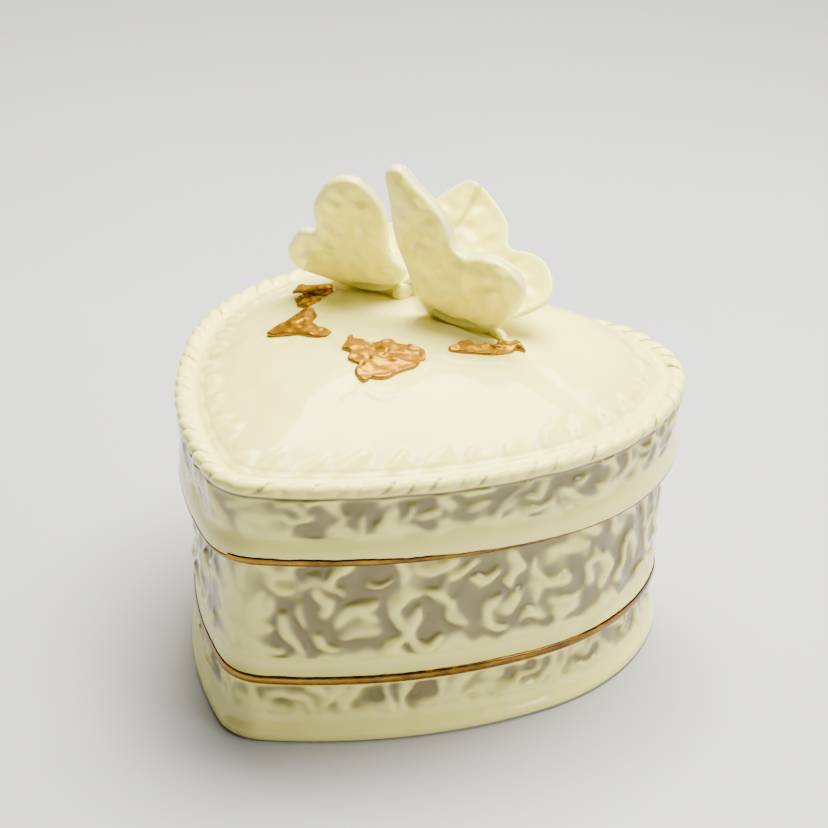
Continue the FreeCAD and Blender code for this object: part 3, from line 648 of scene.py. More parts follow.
def sheet(outline, step, inner_step, rings, seed):
    """Triangulates the inside of an outline, with extra rings of points near its edge.
    Returns points, triangles, distances from the edge and which points are on the edge."""
    r = np.random.RandomState(seed)
    points = [outline]
    following = np.roll(outline, -1, 0)
    area = 0.5 * np.sum(outline[:, 0] * following[:, 1] - following[:, 0] * outline[:, 1])
    t = following - np.roll(outline, 1, 0)
    t /= np.linalg.norm(t, axis=1)[:, None]
    inward = np.c_[-t[:, 1], t[:, 0]] * (1 if area > 0 else -1)
    for k, depth in enumerate(rings):
        q = outline + inward * depth
        if k % 2:
            q = 0.5 * (q + np.roll(q, -1, 0))
        q = q[edge_distance(q, outline) > 0.9 * depth]
        keep = []
        for a in q:
            if not keep or min(np.hypot(*(np.array(keep[-3:]) - a).T)) > 0.45 * step:
                keep.append(a)
        points.append(np.array(keep))
    lo, hi = outline.min(0), outline.max(0)
    grid = []
    for i, y in enumerate(np.arange(lo[1], hi[1], inner_step * 0.866)):
        gx = np.arange(lo[0] + (i % 2) * 0.5 * inner_step, hi[0], inner_step)
        grid.append(np.c_[gx, np.full(len(gx), y)])
    grid = np.vstack(grid)
    grid = grid + r.uniform(-0.06, 0.06, grid.shape) * inner_step
    points.append(grid[edge_distance(grid, outline) > rings[-1] + 0.55 * inner_step])
    n = len(outline)
    result = geometry.delaunay_2d_cdt(
        [Vector((float(a), float(b))) for a, b in np.vstack(points)],
        [(i, (i + 1) % n) for i in range(n)], [], 1, 1e-6)
    v = np.array([(q.x, q.y) for q in result[0]])
    triangles = [tuple(f) for f in result[2]]
    is_edge = np.array([any(k < n for k in origin) for origin in result[3]])
    d = edge_distance(v, outline)
    d[is_edge] = 0
    return v, triangles, np.maximum(d, 0), is_edge


def rounded(d, radius):
    """Quarter-round rise from 0 at the edge to 1 at the radius."""
    return np.sqrt(np.clip(1 - (1 - np.clip(d / radius, 0, 1)) ** 2, 0, 1))


# ------------------------------------------------------------------ butterfly wings
# Outlines in the plane of each wing: u along the root, v outwards from it.
LEFT_FRONT = [
    (-7.69, 15.85), (-9.72, 15.91), (-11.88, 15.44), (-13.60, 13.89), (-15.21, 12.24),
    (-16.62, 10.58), (-17.51, 8.47), (-17.54, 6.10), (-16.43, 4.35), (-14.51, 3.26),
    (-12.43, 2.35), (-10.39, 1.44), (-8.36, 0.57), (-6.30, -0.26), (-4.19, -1.01),
    (-1.98, -1.67), (0.28, -2.09), (2.46, -1.94), (4.46, -1.04), (6.34, 0.31),
    (8.15, 1.78), (9.24, 3.43), (9.03, 5.49), (8.34, 7.76), (8.13, 10.02),
    (8.73, 12.18), (9.52, 14.32), (10.24, 16.50), (10.80, 18.68), (11.11, 20.85),
    (11.10, 23.03), (10.74, 25.30), (9.97, 27.59), (8.71, 29.44), (6.87, 30.39),
    (4.68, 30.43), (2.45, 29.75), (0.49, 28.57), (-1.19, 27.11), (-2.81, 25.58),
    (-4.30, 23.94), (-5.46, 22.05), (-6.23, 19.87), (-6.79, 17.53),
]
LEFT_REAR = [
    (-3.24, 17.13), (-1.63, 18.62), (0.04, 20.27), (1.92, 21.76), (4.09, 22.76),
    (6.27, 22.90), (8.20, 22.09), (9.83, 20.58), (11.10, 18.61), (11.96, 16.41),
    (12.38, 14.17), (12.40, 11.92), (12.06, 9.69), (11.40, 7.51), (10.45, 5.39),
    (9.26, 3.37), (7.83, 1.55), (6.18, 0.06), (4.29, -1.00), (2.22, -1.61),
    (0.01, -1.82), (-2.27, -1.65), (-4.57, -1.16), (-6.84, -0.38), (-9.00, 0.68),
    (-10.95, 1.99), (-12.60, 3.55), (-13.85, 5.35), (-14.59, 7.38), (-14.73, 9.62),
    (-14.27, 11.89), (-13.26, 13.93), (-11.72, 15.47), (-9.71, 16.26), (-7.33, 16.21),
    (-5.04, 16.21),
]
RIGHT_FRONT = [
    (20.52, 31.86), (18.72, 33.50), (16.57, 33.79), (14.83, 32.45), (13.11, 30.78),
    (11.29, 29.33), (9.49, 27.91), (7.87, 26.36), (6.57, 24.49), (5.69, 22.17),
    (4.97, 19.80), (3.90, 18.09), (2.00, 17.88), (-0.28, 18.55), (-2.50, 19.03),
    (-4.90, 19.11), (-7.27, 18.65), (-9.26, 17.54), (-10.54, 15.70), (-11.04, 13.42),
    (-10.85, 11.16), (-10.09, 9.05), (-8.97, 7.03), (-7.68, 5.04), (-6.30, 3.08),
    (-4.80, 1.27), (-3.13, -0.28), (-1.24, -1.43), (0.91, -2.09), (3.23, -2.36),
    (5.58, -2.45), (7.84, -2.45), (10.06, -1.93), (12.12, -0.80), (13.81, 0.80),
    (14.96, 2.73), (15.73, 4.87), (16.36, 7.11), (17.09, 9.34), (17.93, 11.52),
    (18.74, 13.69), (19.36, 15.89), (19.75, 18.13), (19.99, 20.42), (20.19, 22.73),
    (20.43, 25.06), (20.79, 27.42), (21.06, 29.73),
]
RIGHT_REAR = [
    (23.65, 24.67), (22.70, 26.67), (21.37, 28.84), (19.89, 30.89), (18.01, 31.59),
    (15.83, 30.95), (13.66, 29.90), (11.55, 28.65), (9.54, 27.32), (7.68, 25.97),
    (6.02, 24.40), (4.61, 22.35), (3.41, 19.86), (1.70, 18.92), (-0.59, 19.36),
    (-2.94, 19.48), (-5.22, 18.84), (-7.31, 17.55), (-9.08, 15.79), (-10.34, 13.74),
    (-10.92, 11.55), (-10.64, 9.40), (-9.41, 7.42), (-7.62, 5.61), (-5.78, 3.90),
    (-4.17, 2.30), (-2.53, 0.87), (-0.58, -0.30), (1.74, -1.15), (4.27, -1.61),
    (6.82, -1.63), (9.20, -1.16), (11.27, -0.17), (13.06, 1.25), (14.62, 2.99),
    (16.01, 4.94), (17.30, 6.98), (18.52, 9.04), (19.66, 11.12), (20.72, 13.25),
    (21.68, 15.43), (22.53, 17.69), (23.27, 20.04), (23.76, 22.44),
]
LEFT_ROOT, RIGHT_ROOT = (-15.8, 15.6, 71.6), (13.0, 12.6, 71.2)
RIGHT_ALONG = (-0.99513, -0.06959, 0.06976)


def fold(u, v):
    """A sharp step up beyond u = 16.1 that dies away, for 15 mm from v = 18.5."""
    across, up = u - 16.1, v - 18.5
    return (smooth(-0.45, 0.45, across) * np.exp(-np.maximum(across, 0) / 4.5)
            * smooth(-1.5, 3.0, up) * (1 - smooth(14.5, 19.0, up)))


# root, along and outward place the wing; face is +1 where its normal looks at the camera.
# bend curves the sheet towards the camera and roll turns its rim (d is the distance from the
# edge). veins: centre of the fan, seed, count, first and last angle.
WINGS = {
    "left_wing_front": dict(
        outline=LEFT_FRONT, root=LEFT_ROOT, along=(0.97086, 0.11921, 0.20791),
        outward=(-0.13895, -0.42685, 0.89358), face=1, seed=3,
        bend=lambda u, v: 1.6 - 0.0042 * (v - 14) ** 2 - 0.006 * (u + 2) ** 2,
        roll=lambda u, v, d: -1.25 * np.exp(-d / 1.5) * smooth(4, 10, v),
        veins=((-2.0, -1.0), 101, 7, (0.55, 2.75))),
    "left_wing_rear": dict(
        outline=LEFT_REAR, root=LEFT_ROOT, along=(0.98228, 0.15558, 0.10453),
        outward=(-0.18586, 0.88056, 0.43597), face=1, seed=5,
        bend=lambda u, v: 0.4 + 0.004 * (v - 9) ** 2 + 0.003 * u * u,
        roll=lambda u, v, d: 0.5 * np.exp(-d / 1.6) * smooth(4, 9, v),
        veins=((0.0, -1.0), 103, 7, (0.45, 2.8))),
    "right_wing_front": dict(
        outline=RIGHT_FRONT, root=RIGHT_ROOT, along=RIGHT_ALONG,
        outward=(0.08349, -0.21966, 0.972), face=-1, seed=7,
        bend=lambda u, v: 1.3 - 0.0032 * (v - 15) ** 2 - 0.0045 * (u - 6) ** 2,
        roll=lambda u, v, d: (-1.9 * np.exp(-d / 2.4) * smooth(12, 20, v) * smooth(23, 15, u)
                              - 0.9 * np.exp(-d / 1.5) * smooth(3, 8, v)),
        veins=((6.0, -2.5), 105, 9, (0.75, 2.55))),
    "right_wing_rear": dict(
        outline=RIGHT_REAR, root=RIGHT_ROOT, along=RIGHT_ALONG,
        outward=(-0.01723, 0.81995, 0.57218), face=-1, seed=9,
        bend=lambda u, v: (0.5 + 0.0030 * (v - 12) ** 2 + 0.0030 * (u - 4) ** 2
                           + 1.8 * fold(u, v)),
        roll=lambda u, v, d: 0.7 * np.exp(-d / 1.7) * smooth(5, 10, v),
        veins=((5.0, -2.0), 107, 9, (0.55, 2.6))),
}
WING_STEP, WING_INNER_STEP, WING_RIM_R = 0.34, 0.62, 0.62
WING_EDGE_RINGS = [0.07, 0.2, 0.38, 0.6, 0.9, 1.3]
wing_noise = noise_field(128, 128, 0.5, 0.5, 4.5, 18.0, 71)


def vein_field(points, centre, seed, count, spread):
    """Raised veins that fan out from the centre, wandering and fading."""
    r = np.random.RandomState(seed)
    q = points - np.array(centre)
    angle, reach = np.arctan2(q[:, 1], q[:, 0]), np.hypot(q[:, 0], q[:, 1])
    h = np.zeros(len(points))
    for k in range(count):
        start = spread[0] + (spread[1] - spread[0]) * (k + 0.5) / count + r.uniform(-0.06, 0.06)
        bend = r.uniform(-0.012, 0.012)
        wobble = 0.05 * np.sin(reach * r.uniform(0.35, 0.6) + r.uniform(0, 6))
        off = (angle - (start + bend * reach + wobble)) * reach
        h += (np.exp(-(off / (0.55 + 0.02 * reach)) ** 2) * smooth(3, 7, reach)
              * (1 - 0.5 * smooth(18, 30, reach)))
    return h


def make_wing(name, outline, root, along, outward, face, seed, bend, roll, veins):
    """A wing of rolled clay with a fat rounded rim."""
    along, outward = np.array(along), np.array(outward)
    normal = np.cross(along, outward)
    line = closed_curve(outline, WING_STEP)
    points, triangles, d, is_edge = sheet(line, WING_STEP, WING_INNER_STEP, WING_EDGE_RINGS,
                                          seed)
    u, v = points.T
    low = wing_noise(u + 40.0 + seed * 3.1, v + 40.0 + seed * 1.7)
    # a bead inside the rim, and a thicker root
    core = (0.62 + 0.16 * np.exp(-((d - 1.1) / 0.75) ** 2)
            + 0.18 * (1 - smooth(-2.0, 3.2, v)) * smooth(0.0, 2.0, d))
    half = core * rounded(d, WING_RIM_R)
    emboss = (0.10 * vein_field(points, *veins) + 0.09 * low) * smooth(1.0, 4.0, d)
    mid = bend(u, v) + roll(u, v, d) + 0.16 * low * smooth(0.5, 4.0, d)
    # both faces are embossed, the one turned to the camera more strongly
    high, deep = mid + half + emboss, mid - half - 0.5 * emboss
    mid, half = 0.5 * (high + deep), 0.5 * (high - deep)
    # the bend moves the wing along the line of sight, so its outline in the view stays put
    flat = np.array(root) + points[:, :1] * along + points[:, 1:] * outward
    sight = np.array(CAMERA_AT) / MM - flat
    sight /= np.linalg.norm(sight, axis=1)[:, None]
    centre = flat + sight * (mid / (sight @ (face * normal)))[:, None]
    thick = (face * half)[:, None] * normal
    # top and bottom share the edge points
    extra = np.where(~is_edge)[0]
    bottom_at = np.arange(len(points))
    bottom_at[extra] = len(points) + np.arange(len(extra))
    verts = np.vstack([centre + thick, (centre - thick)[extra]])
    top = np.array(triangles)
    faces = top.tolist() + bottom_at[top][:, ::-1].tolist()
    # edge rises near the root, keeping the painted rim highlight off the lower, downward-facing
    # rims
    attrs = {"relief": emboss, "edge": d + 3.0 * (1 - smooth(1.0, 6.0, v)),
             "foot": 1 - smooth(-1.0, 9.0, v)}
    attrs = {key: np.concatenate([val, val[extra]]) for key, val in attrs.items()}
    return new_sheet_object(name, verts, faces, attrs)


# ------------------------------------------------------------------ butterfly bodies
BODY_ROWS, BODY_COLUMNS = 110, 48
# share of the length from the tail, radius there
BODY_RADII = [(0, 0), (0.01, 0.42), (0.035, 0.72), (0.10, 1.0), (0.2, 1.3), (0.4, 1.55),
              (0.52, 1.45), (0.6, 1.75), (0.7, 1.9), (0.79, 1.75), (0.84, 1.6), (0.9, 2.15),
              (0.96, 1.9), (0.99, 1.1), (1.0, 0)]
LEFT_BODY = [(-26.9, 18.0, 69.4), (-21.5, 17.6, 70.1), (-14, 16.9, 70.7), (-7.3, 16.3, 71.4)]
RIGHT_BODY = [(19.9, 12.0, 69.6), (18.3, 13.2, 70.3), (15.5, 13.6, 70.8), (9, 13.6, 71.0),
              (0.6, 13.4, 71.2)]


def make_body(name, path, seed, head):
    """Abdomen with soft rings, thorax and head, swept along a slightly curved path. head
    scales the head's radius."""
    p = np.array(path, float)
    run = np.concatenate([[0], np.cumsum(np.linalg.norm(np.diff(p, axis=0), axis=1))])
    length = run[-1]
    t = (1 - np.cos(np.linspace(0, math.pi, BODY_ROWS + 8)[4:-4])) / 2
    radius = pchip(*zip(*BODY_RADII), t) * (1 + (head - 1) * smooth(0.80, 0.86, t))
    radius = radius + (0.10 * np.sin(t * 2 * math.pi * 17) * smooth(0.06, 0.12, t)
                       * (1 - smooth(0.5, 0.56, t)))
    spine = np.array([[np.interp(q * length, run, p[:, k]) for k in range(3)] for q in t])
    for _ in range(6):
        spine[1:-1] = 0.5 * spine[1:-1] + 0.25 * (spine[:-2] + spine[2:])
    ahead = np.gradient(spine, axis=0)
    ahead /= np.linalg.norm(ahead, axis=1)[:, None]
    side = np.cross(ahead, [0, 0, 1.0])
    side /= np.linalg.norm(side, axis=1)[:, None]
    up = np.cross(side, ahead)
    a = np.arange(BODY_COLUMNS) / BODY_COLUMNS * 2 * math.pi
    wobble = noise_field(64, 64, 0.4, 0.4, 1.0, 6.0, seed)((t * length)[:, None], a[None, :] * 2)
    radius = (radius[:, None] * (1 + 0.035 * wobble))[:, :, None]
    cos, sin = np.cos(a)[None, :, None], np.sin(a)[None, :, None]
    rings = spine[:, None, :] + radius * (cos * side[:, None, :] + sin * up[:, None, :] * 0.95)
    # edge of 3 keeps the painted rim highlight off the bodies
    return ring_solid(name, rings, p[0], p[-1],
                      {"relief": (0.1 * wobble, 0, 0), "edge": (3.0, 3.0, 3.0),
                       "foot": (1.0, 1.0, 1.0)}, flip=False)


# ------------------------------------------------------------------ gilded leaves on the dome
# Outlines about the centre, in the plane of the normal. ribs: start, end, width, height.
LEAVES = {
    "leaf_left_upper": dict(
        outline=[
            (-4.61, -1.47), (-5.64, 1.22), (-5.85, 2.89), (-4.33, 2.81), (-1.04, 2.62),
            (3.09, 3.00), (4.58, 1.23), (6.35, -0.93), (6.35, -2.72), (4.94, -2.97),
            (1.77, -2.39), (-1.27, -1.72), (-3.17, -1.47)],
        centre=(-29.01, 11.95), normal=(-0.2797, -0.0268, 0.9597), seed=1, lift=0.55,
        ribs=[((-6, -2), (6, 2), 0.7, 0.25)], tilt=0.05),
    "leaf_left_middle": dict(
        outline=[
            (-3.43, 0.30), (-2.98, 1.88), (-3.72, 3.88), (-1.61, 2.96), (1.31, 2.03),
            (3.51, 1.25), (3.64, -0.35), (3.25, -1.97), (2.72, -3.04), (0.77, -2.98),
            (-0.20, -2.78), (-2.01, -0.79)],
        centre=(-26.1, 5.76), normal=(-0.2471, -0.0811, 0.9656), seed=2, lift=0.5,
        ribs=[((-3, -2), (3, 2), 0.6, 0.22)]),
    "leaf_left_long": dict(
        outline=[
            (-6.05, -4.50), (-5.91, -2.89), (-5.32, -0.81), (-4.81, 1.37), (-4.73, 4.10),
            (-4.48, 6.26), (-3.68, 7.34), (-2.23, 6.84), (0.60, 4.47), (1.15, 2.67),
            (1.38, 1.31), (4.09, 0.11), (6.33, -0.14), (8.63, -1.22), (8.58, -2.89),
            (7.00, -3.86), (4.58, -4.06), (1.53, -3.81), (-1.24, -4.37), (-4.19, -5.12)],
        centre=(-18.99, -4.69), normal=(-0.1961, -0.1337, 0.9714), seed=3, lift=0.5,
        ribs=[((-7, 2), (6, -5), 0.7, 0.3), ((-2, 0), (0, 5), 0.5, 0.2)]),
    "leaf_front": dict(
        outline=[
            (-8.20, -1.43), (-9.02, 1.00), (-9.79, 3.04), (-9.47, 3.97), (-8.18, 2.92),
            (-7.47, 3.31), (-6.25, 3.01), (-4.68, 2.92), (-3.66, 3.58), (-2.93, 4.62),
            (-2.34, 5.86), (-1.42, 6.32), (0.09, 5.93), (1.43, 6.48), (2.76, 7.05),
            (4.15, 7.17), (5.38, 7.18), (6.28, 6.94), (8.12, 4.68), (7.57, 3.74),
            (8.08, 2.34), (7.90, 0.87), (7.35, -0.04), (6.93, -0.82), (6.28, -2.63),
            (6.13, -4.43), (5.43, -5.81), (4.20, -6.80), (3.24, -7.14), (3.34, -8.28),
            (2.75, -9.13), (1.38, -8.60), (-0.22, -7.77), (-1.08, -6.30), (-1.43, -4.83),
            (-2.83, -4.94), (-4.36, -4.54), (-5.22, -2.73), (-5.79, -1.63), (-7.09, -1.58)],
        centre=(3.66, -9.24), normal=(0.0651, -0.0918, 0.9936), seed=4, lift=0.6,
        ribs=[((0, -8), (1, 7), 0.6, 0.32), ((0, -2), (7, 2), 0.5, 0.26),
              ((0, -2), (-6, 3), 0.5, 0.26), ((0.5, 2), (6, 6), 0.5, 0.2),
              ((0.5, 2), (-4, 6), 0.5, 0.2)]),
    "leaf_right": dict(
        outline=[
            (-6.13, -6.25), (-6.27, -5.35), (-5.59, -4.21), (-5.36, -2.41), (-4.16, -1.29),
            (-2.90, -1.70), (-2.02, -0.83), (-0.64, 0.02), (0.44, 0.61), (-0.08, 2.84),
            (0.41, 3.95), (1.33, 4.41), (1.94, 5.72), (2.71, 6.05), (4.12, 5.42),
            (5.23, 4.49), (5.91, 4.21), (4.69, 3.82), (4.04, 3.31), (4.01, 1.89),
            (3.34, 0.32), (2.56, -1.07), (1.53, -2.43), (-0.12, -3.60), (-1.79, -4.74),
            (-3.47, -5.84), (-5.17, -6.91)],
        centre=(18.86, 8.09), normal=(0.1397, -0.0415, 0.9893), seed=5, lift=0.65,
        ribs=[((-6, -6), (6, 6), 0.7, 0.35)]),
}
LEAF_STEP, LEAF_INNER_STEP, LEAF_RIM_R = 0.2, 0.3, 0.45
LEAF_EDGE_RINGS = [0.06, 0.16, 0.32]
LEAF_SINK, LEAF_LEAST = 0.7, 0.12     # depth into the dome, least height above it
LEAF_CURL = 0.3
crumple = noise_field(160, 160, 0.25, 0.25, 3.0, 9.0, 61)
crumple_fine = noise_field(160, 160, 0.25, 0.25, 1.3, 3.0, 62)


def make_leaf(name, outline, centre, normal, seed, lift, ribs, tilt=0.0):
    """A crumpled leaf pressed on to the dome; tilt is its rise per millimetre of its y."""
    normal = np.array(normal)
    normal = normal / np.linalg.norm(normal)
    x_axis = np.cross([0, 1.0, 0], normal)
    x_axis /= np.linalg.norm(x_axis)
    y_axis = np.cross(normal, x_axis)
    line = closed_curve(outline, LEAF_STEP, corners=True)
    points, triangles, d, _ = sheet(line, LEAF_STEP, LEAF_INNER_STEP, LEAF_EDGE_RINGS, seed)
    x, y = (np.array(centre) + points[:, :1] * x_axis[:2] + points[:, 1:] * y_axis[:2]).T
    u, v = points.T
    coarse = crumple(u + 20 + 3.7 * seed, v + 20 + 1.3 * seed)
    fine = crumple_fine(u + 20 + 2.7 * seed, v + 20 + 4.3 * seed)
    ridge = np.zeros(len(points))
    for start, end, width, amp in ribs:
        near = path_distance2(u, v, np.array([start, end], float))
        ridge += amp * np.exp(-near / width ** 2)
    h = (lift * rounded(d, LEAF_RIM_R) * 0.55 + 0.45 * lift
         + (0.13 * coarse + 0.015 * fine + ridge) * smooth(0.0, 0.8, d)
         + LEAF_CURL * np.exp(-d / 0.8) * smooth(-0.4, 1.2, coarse) + tilt * v)
    h = np.maximum(h, LEAF_LEAST)
    base, up = np.c_[x, y, dome_z(x, y)], dome_normal(x, y)
    # the rim is a wall of its own, so top and bottom are joined by side faces
    n = len(points)
    top = np.array(triangles)
    faces = top.tolist() + (top + n)[:, ::-1].tolist()
    sides = {(f[i], f[(i + 1) % 3]): True for f in triangles for i in range(3)}
    faces += [(b, a, a + n, b + n) for a, b in sides if (b, a) not in sides]
    attrs = {"gild": np.concatenate([np.ones(n), np.zeros(n)]),
             "edge": np.concatenate([d, np.zeros(n)]),
             "relief": np.concatenate([h, h]) - lift}
    verts = np.vstack([base + up * h[:, None], base - up * LEAF_SINK])
    return new_sheet_object(name, verts, faces, attrs)


# ------------------------------------------------------------------ materials
SSS_RADIUS = (1.0, 0.8, 0.42)


class Graph:
    """Small helper for building a node material."""

    def __init__(self, name):
        self.mat = bpy.data.materials.new(name)
        self.mat.use_nodes = True
        self.tree = self.mat.node_tree
        self.tree.nodes.clear()
        self.coord = self.node("ShaderNodeTexCoord", output="Object")

    def node(self, kind, *values, output=0, props=None, **named):
        """Adds a node and returns one output. values fill its inputs in order and named ones
        by label, with _ for a space; None leaves an input alone."""
        node = self.tree.nodes.new(kind)
        for key, value in (props or {}).items():
            setattr(node, key, value)
        inputs = list(enumerate(values)) + [(k.replace("_", " "), v) for k, v in named.items()]
        for key, value in inputs:
            if value is None:
                continue
            socket = node.inputs[key]
            if isinstance(value, bpy.types.NodeSocket):
                self.tree.links.new(value, socket)
            elif socket.type == "RGBA":
                socket.default_value = (*value, 1.0)
            else:
                socket.default_value = value
        return node.outputs[output] if len(node.outputs) else None

    def noise(self, scale, detail=3.0, rough=0.55, distortion=0.0):
        return self.node("ShaderNodeTexNoise", Vector=self.coord, Scale=scale, Detail=detail,
                         Roughness=rough, Distortion=distortion)

    def attr(self, name):
        return self.node("ShaderNodeAttribute", output=2, props={"attribute_name": name})

    def ramp(self, value, start, end, low=0.0, high=1.0):
        return self.node("ShaderNodeMapRange", value, start, end, low, high,
                         props={"interpolation_type": "SMOOTHSTEP"})

    def calc(self, operation, a, b):
        return self.node("ShaderNodeMath", a, b, props={"operation": operation})

    def mix(self, factor, a, b):
        return self.node("ShaderNodeMix", factor, *[None] * 5, a, b, output=2,
                         props={"data_type": "RGBA"})

    def bump(self, height, distance, normal=None):
        return self.node("ShaderNodeBump", Strength=1.0, Distance=distance, Height=height,
                         Normal=normal)

    def principled(self, **inputs):
        return self.node("ShaderNodeBsdfPrincipled", **inputs)

    def done(self, shader):
        self.node("ShaderNodeOutputMaterial", Surface=shader)
        return self.mat


def specks(g, scale, size, share):
    """A few small iron specks in the glaze."""
    distance = g.node("ShaderNodeTexVoronoi", output="Distance", Vector=g.coord, Scale=scale)
    pick = g.node("ShaderNodeSeparateColor", Color=distance.node.outputs["Color"])
    return g.calc("MULTIPLY", g.ramp(distance, start=size, end=size * 0.4),
                  g.calc("GREATER_THAN", pick, 1.0 - share))


def glaze(name, light, pooled_shade, deep, subsurface, rim_highlight=None):
    """Glaze from light on the ridges to pooled glaze and painted shade in the hollows, with deep
    mottling and, where given, a rim colour as a painted highlight along the edges. Bare clay
    where "bare" is 1."""
    g = Graph(name)
    broad = g.calc("MULTIPLY", g.calc("SUBTRACT", g.noise(scale=38.0), 0.5), 0.22)
    # painted shade and glaze pooling: low or negative relief takes the pooled colour
    tone = g.calc("ADD", g.ramp(g.attr("relief"), start=0.05, end=-0.95), broad)
    col = g.mix(g.ramp(tone, start=0.0, end=1.0), light, pooled_shade)
    mottle = g.ramp(g.noise(scale=420.0, detail=4.0), start=0.56, end=0.80)
    col = g.mix(g.calc("MULTIPLY", mottle, 0.10), col, deep)
    # painted highlight: the rim colour lightens the wing edges
    if rim_highlight is not None:
        inside = g.ramp(g.attr("edge"), start=0.2, end=2.6)
        col = g.mix(g.calc("MULTIPLY", inside, 0.75), rim_highlight, col)
    dots = specks(g, scale=95.0, size=0.045, share=0.05)
    col = g.mix(g.calc("MULTIPLY", dots, 0.6), col, (0.20, 0.13, 0.07))
    bare = g.ramp(g.attr("bare"), start=0.35, end=0.65)
    grit = g.noise(scale=1600.0, detail=2.0)
    col = g.mix(bare, col, g.mix(grit, (0.66, 0.61, 0.50), (0.80, 0.76, 0.66)))
    gloss = g.ramp(g.noise(scale=130.0), start=0.35, end=0.75, low=0.10, high=0.19)
    clay_roughness, coat = 0.82, 0.2
    normal = g.bump(g.noise(scale=240.0, detail=2.0), distance=0.000010)
    normal = g.bump(g.calc("MULTIPLY", grit, bare), distance=0.00004, normal=normal)
    return g.done(g.principled(
        Base_Color=col, Roughness=g.node("ShaderNodeMix", bare, None, gloss, clay_roughness),
        IOR=1.5, Normal=normal, Subsurface_Weight=subsurface, Subsurface_Radius=SSS_RADIUS,
        Subsurface_Scale=0.0032, Coat_Roughness=0.03,
        Coat_Weight=g.calc("SUBTRACT", coat, g.calc("MULTIPLY", bare, coat))))


def gold(name, bright, brown, under, wear, patch_scale, rough, metallic, tint, coat, leaf):
    """Brushed gilding that is worn through to the colour under where noise lies beyond wear.
    A leaf is gilt only where "gild" is 1, and darker round its edge."""
    g = Graph(name)
    patch = g.noise(scale=patch_scale, detail=4.0, rough=0.55, distortion=0.5)
    stretched = g.node("ShaderNodeVectorMath", g.coord, (500.0, 500.0, 2600.0),
                       props={"operation": "MULTIPLY"})
    strokes = g.node("ShaderNodeTexNoise", Scale=1.0, Detail=4.0, Vector=stretched)
    tone = g.calc("ADD", g.calc("MULTIPLY", patch, 0.7), g.calc("MULTIPLY", strokes, 0.3))
    # brown to bright patches; on the gilt lines the near-black brown is painted dark reflection
    col = g.mix(g.ramp(tone, start=0.30, end=0.72), brown, bright)
    if leaf:
        # the gilding is thick and dark where the brush ran round the edge
        rim = g.ramp(g.attr("edge"), start=0.40, end=0.10, low=0.0, high=0.55)
        col = g.mix(rim, col, (0.20, 0.085, 0.02))
    normal = g.bump(strokes, distance=0.000012)
    normal = g.bump(g.noise(scale=420.0), distance=0.000014, normal=normal)
    metal = g.principled(
        Base_Color=col, Metallic=metallic, Normal=normal, Specular_Tint=tint,
        Roughness=g.ramp(strokes, start=0.3, end=0.75, low=rough, high=rough + 0.16),
        Coat_Weight=coat, Coat_Roughness=0.08)
    glazed = g.principled(
        Base_Color=under, Roughness=0.18, Coat_Weight=0.5, Coat_Roughness=0.05,
        Subsurface_Weight=0.15, Subsurface_Radius=SSS_RADIUS, Subsurface_Scale=0.002)
    worn = g.ramp(g.noise(scale=330.0, detail=5.0, rough=0.65, distortion=0.4), *wear)
    if leaf:
        worn = g.calc("MAXIMUM", worn, g.ramp(g.attr("gild"), start=0.5, end=0.1))
    return g.done(g.node("ShaderNodeMixShader", worn, metal, glazed))


def floor_paper():
    g = Graph("floor_paper")
    col = g.mix(g.noise(scale=9.0), (0.43, 0.439, 0.478), (0.48, 0.489, 0.528))
    return g.done(g.principled(Base_Color=col, Roughness=0.55, Normal=g.bump(
        g.noise(scale=900.0, detail=2.0), distance=0.00003)))


# ------------------------------------------------------------------ floor, light and camera
def make_floor(half=1.6, drop=0.0002):
    mesh = bpy.data.meshes.new("floor")
    corners = [(-half, -half, 0), (half, -half, 0), (half, half, 0), (-half, half, 0)]
    mesh.from_pydata(corners, [], [(0, 1, 2, 3)])
    floor = link("floor", mesh)
    floor.location.z = -drop
    mesh.materials.append(floor_paper())


def area(name, where, look, size, power, colour, size_y=None, glossy=True):
    """A soft light at where, aimed at look."""
    light = bpy.data.lights.new(name, "AREA")
    light.energy = power
    light.color = colour
    light.size = size
    if size_y is not None:
        light.shape = "RECTANGLE"
        light.size_y = size_y
    obj = link(name, light)
    obj.location = where
    obj.visible_glossy = glossy
    obj.rotation_euler = (Vector(look) - Vector(where)).to_track_quat("-Z", "Y").to_euler()


def make_lights():
    # one broad soft light overhead, a little behind, of which only the window is reflected
    area("top_softbox", where=(-0.02, 0.19, 0.61), look=(0.0, 0.0, 0.05), size=0.50,
         size_y=0.42, power=13.5, colour=(1.0, 0.97, 0.82), glossy=False)
    area("top_window", where=(-0.02, 0.18, 0.585), look=(0.0, 0.0, 0.05), size=0.46,
         size_y=0.36, power=10.0, colour=(1.0, 0.97, 0.80))
    # fills from the camera's left and right
    area("side_fill", where=(-0.50, -0.46, 0.34), look=(0.0, 0.0, 0.04), size=0.40,
         power=0.25, colour=(1.0, 0.98, 0.95))
    area("right_fill", where=(0.62, 0.06, 0.30), look=(0.0, 0.0, 0.05), size=0.35,
         power=3.4, colour=(1.0, 0.97, 0.90))
    world = bpy.data.worlds.new("studio")
    world.use_nodes = True
    background = world.node_tree.nodes["Background"]
    background.inputs["Color"].default_value = (0.86, 0.85, 0.82, 1)
    background.inputs["Strength"].default_value = 0.05
    bpy.context.scene.world = world


def make_camera():
    data = bpy.data.cameras.new("camera")
    data.lens = 101.46
    data.sensor_width = 36.0
    data.clip_start = 0.01
    data.clip_end = 20.0
    camera = link("camera", data)
    right, up = (0.8175, 0.5754, 0.026), (-0.2821, 0.3605, 0.8891)
    forward = (-0.5021, 0.7341, -0.457)
    matrix = Matrix.Identity(4)
    for i in range(3):
        matrix[i][0], matrix[i][1], matrix[i][2] = right[i], up[i], -forward[i]
        matrix[i][3] = CAMERA_AT[i]
    camera.matrix_world = matrix
    bpy.context.scene.camera = camera


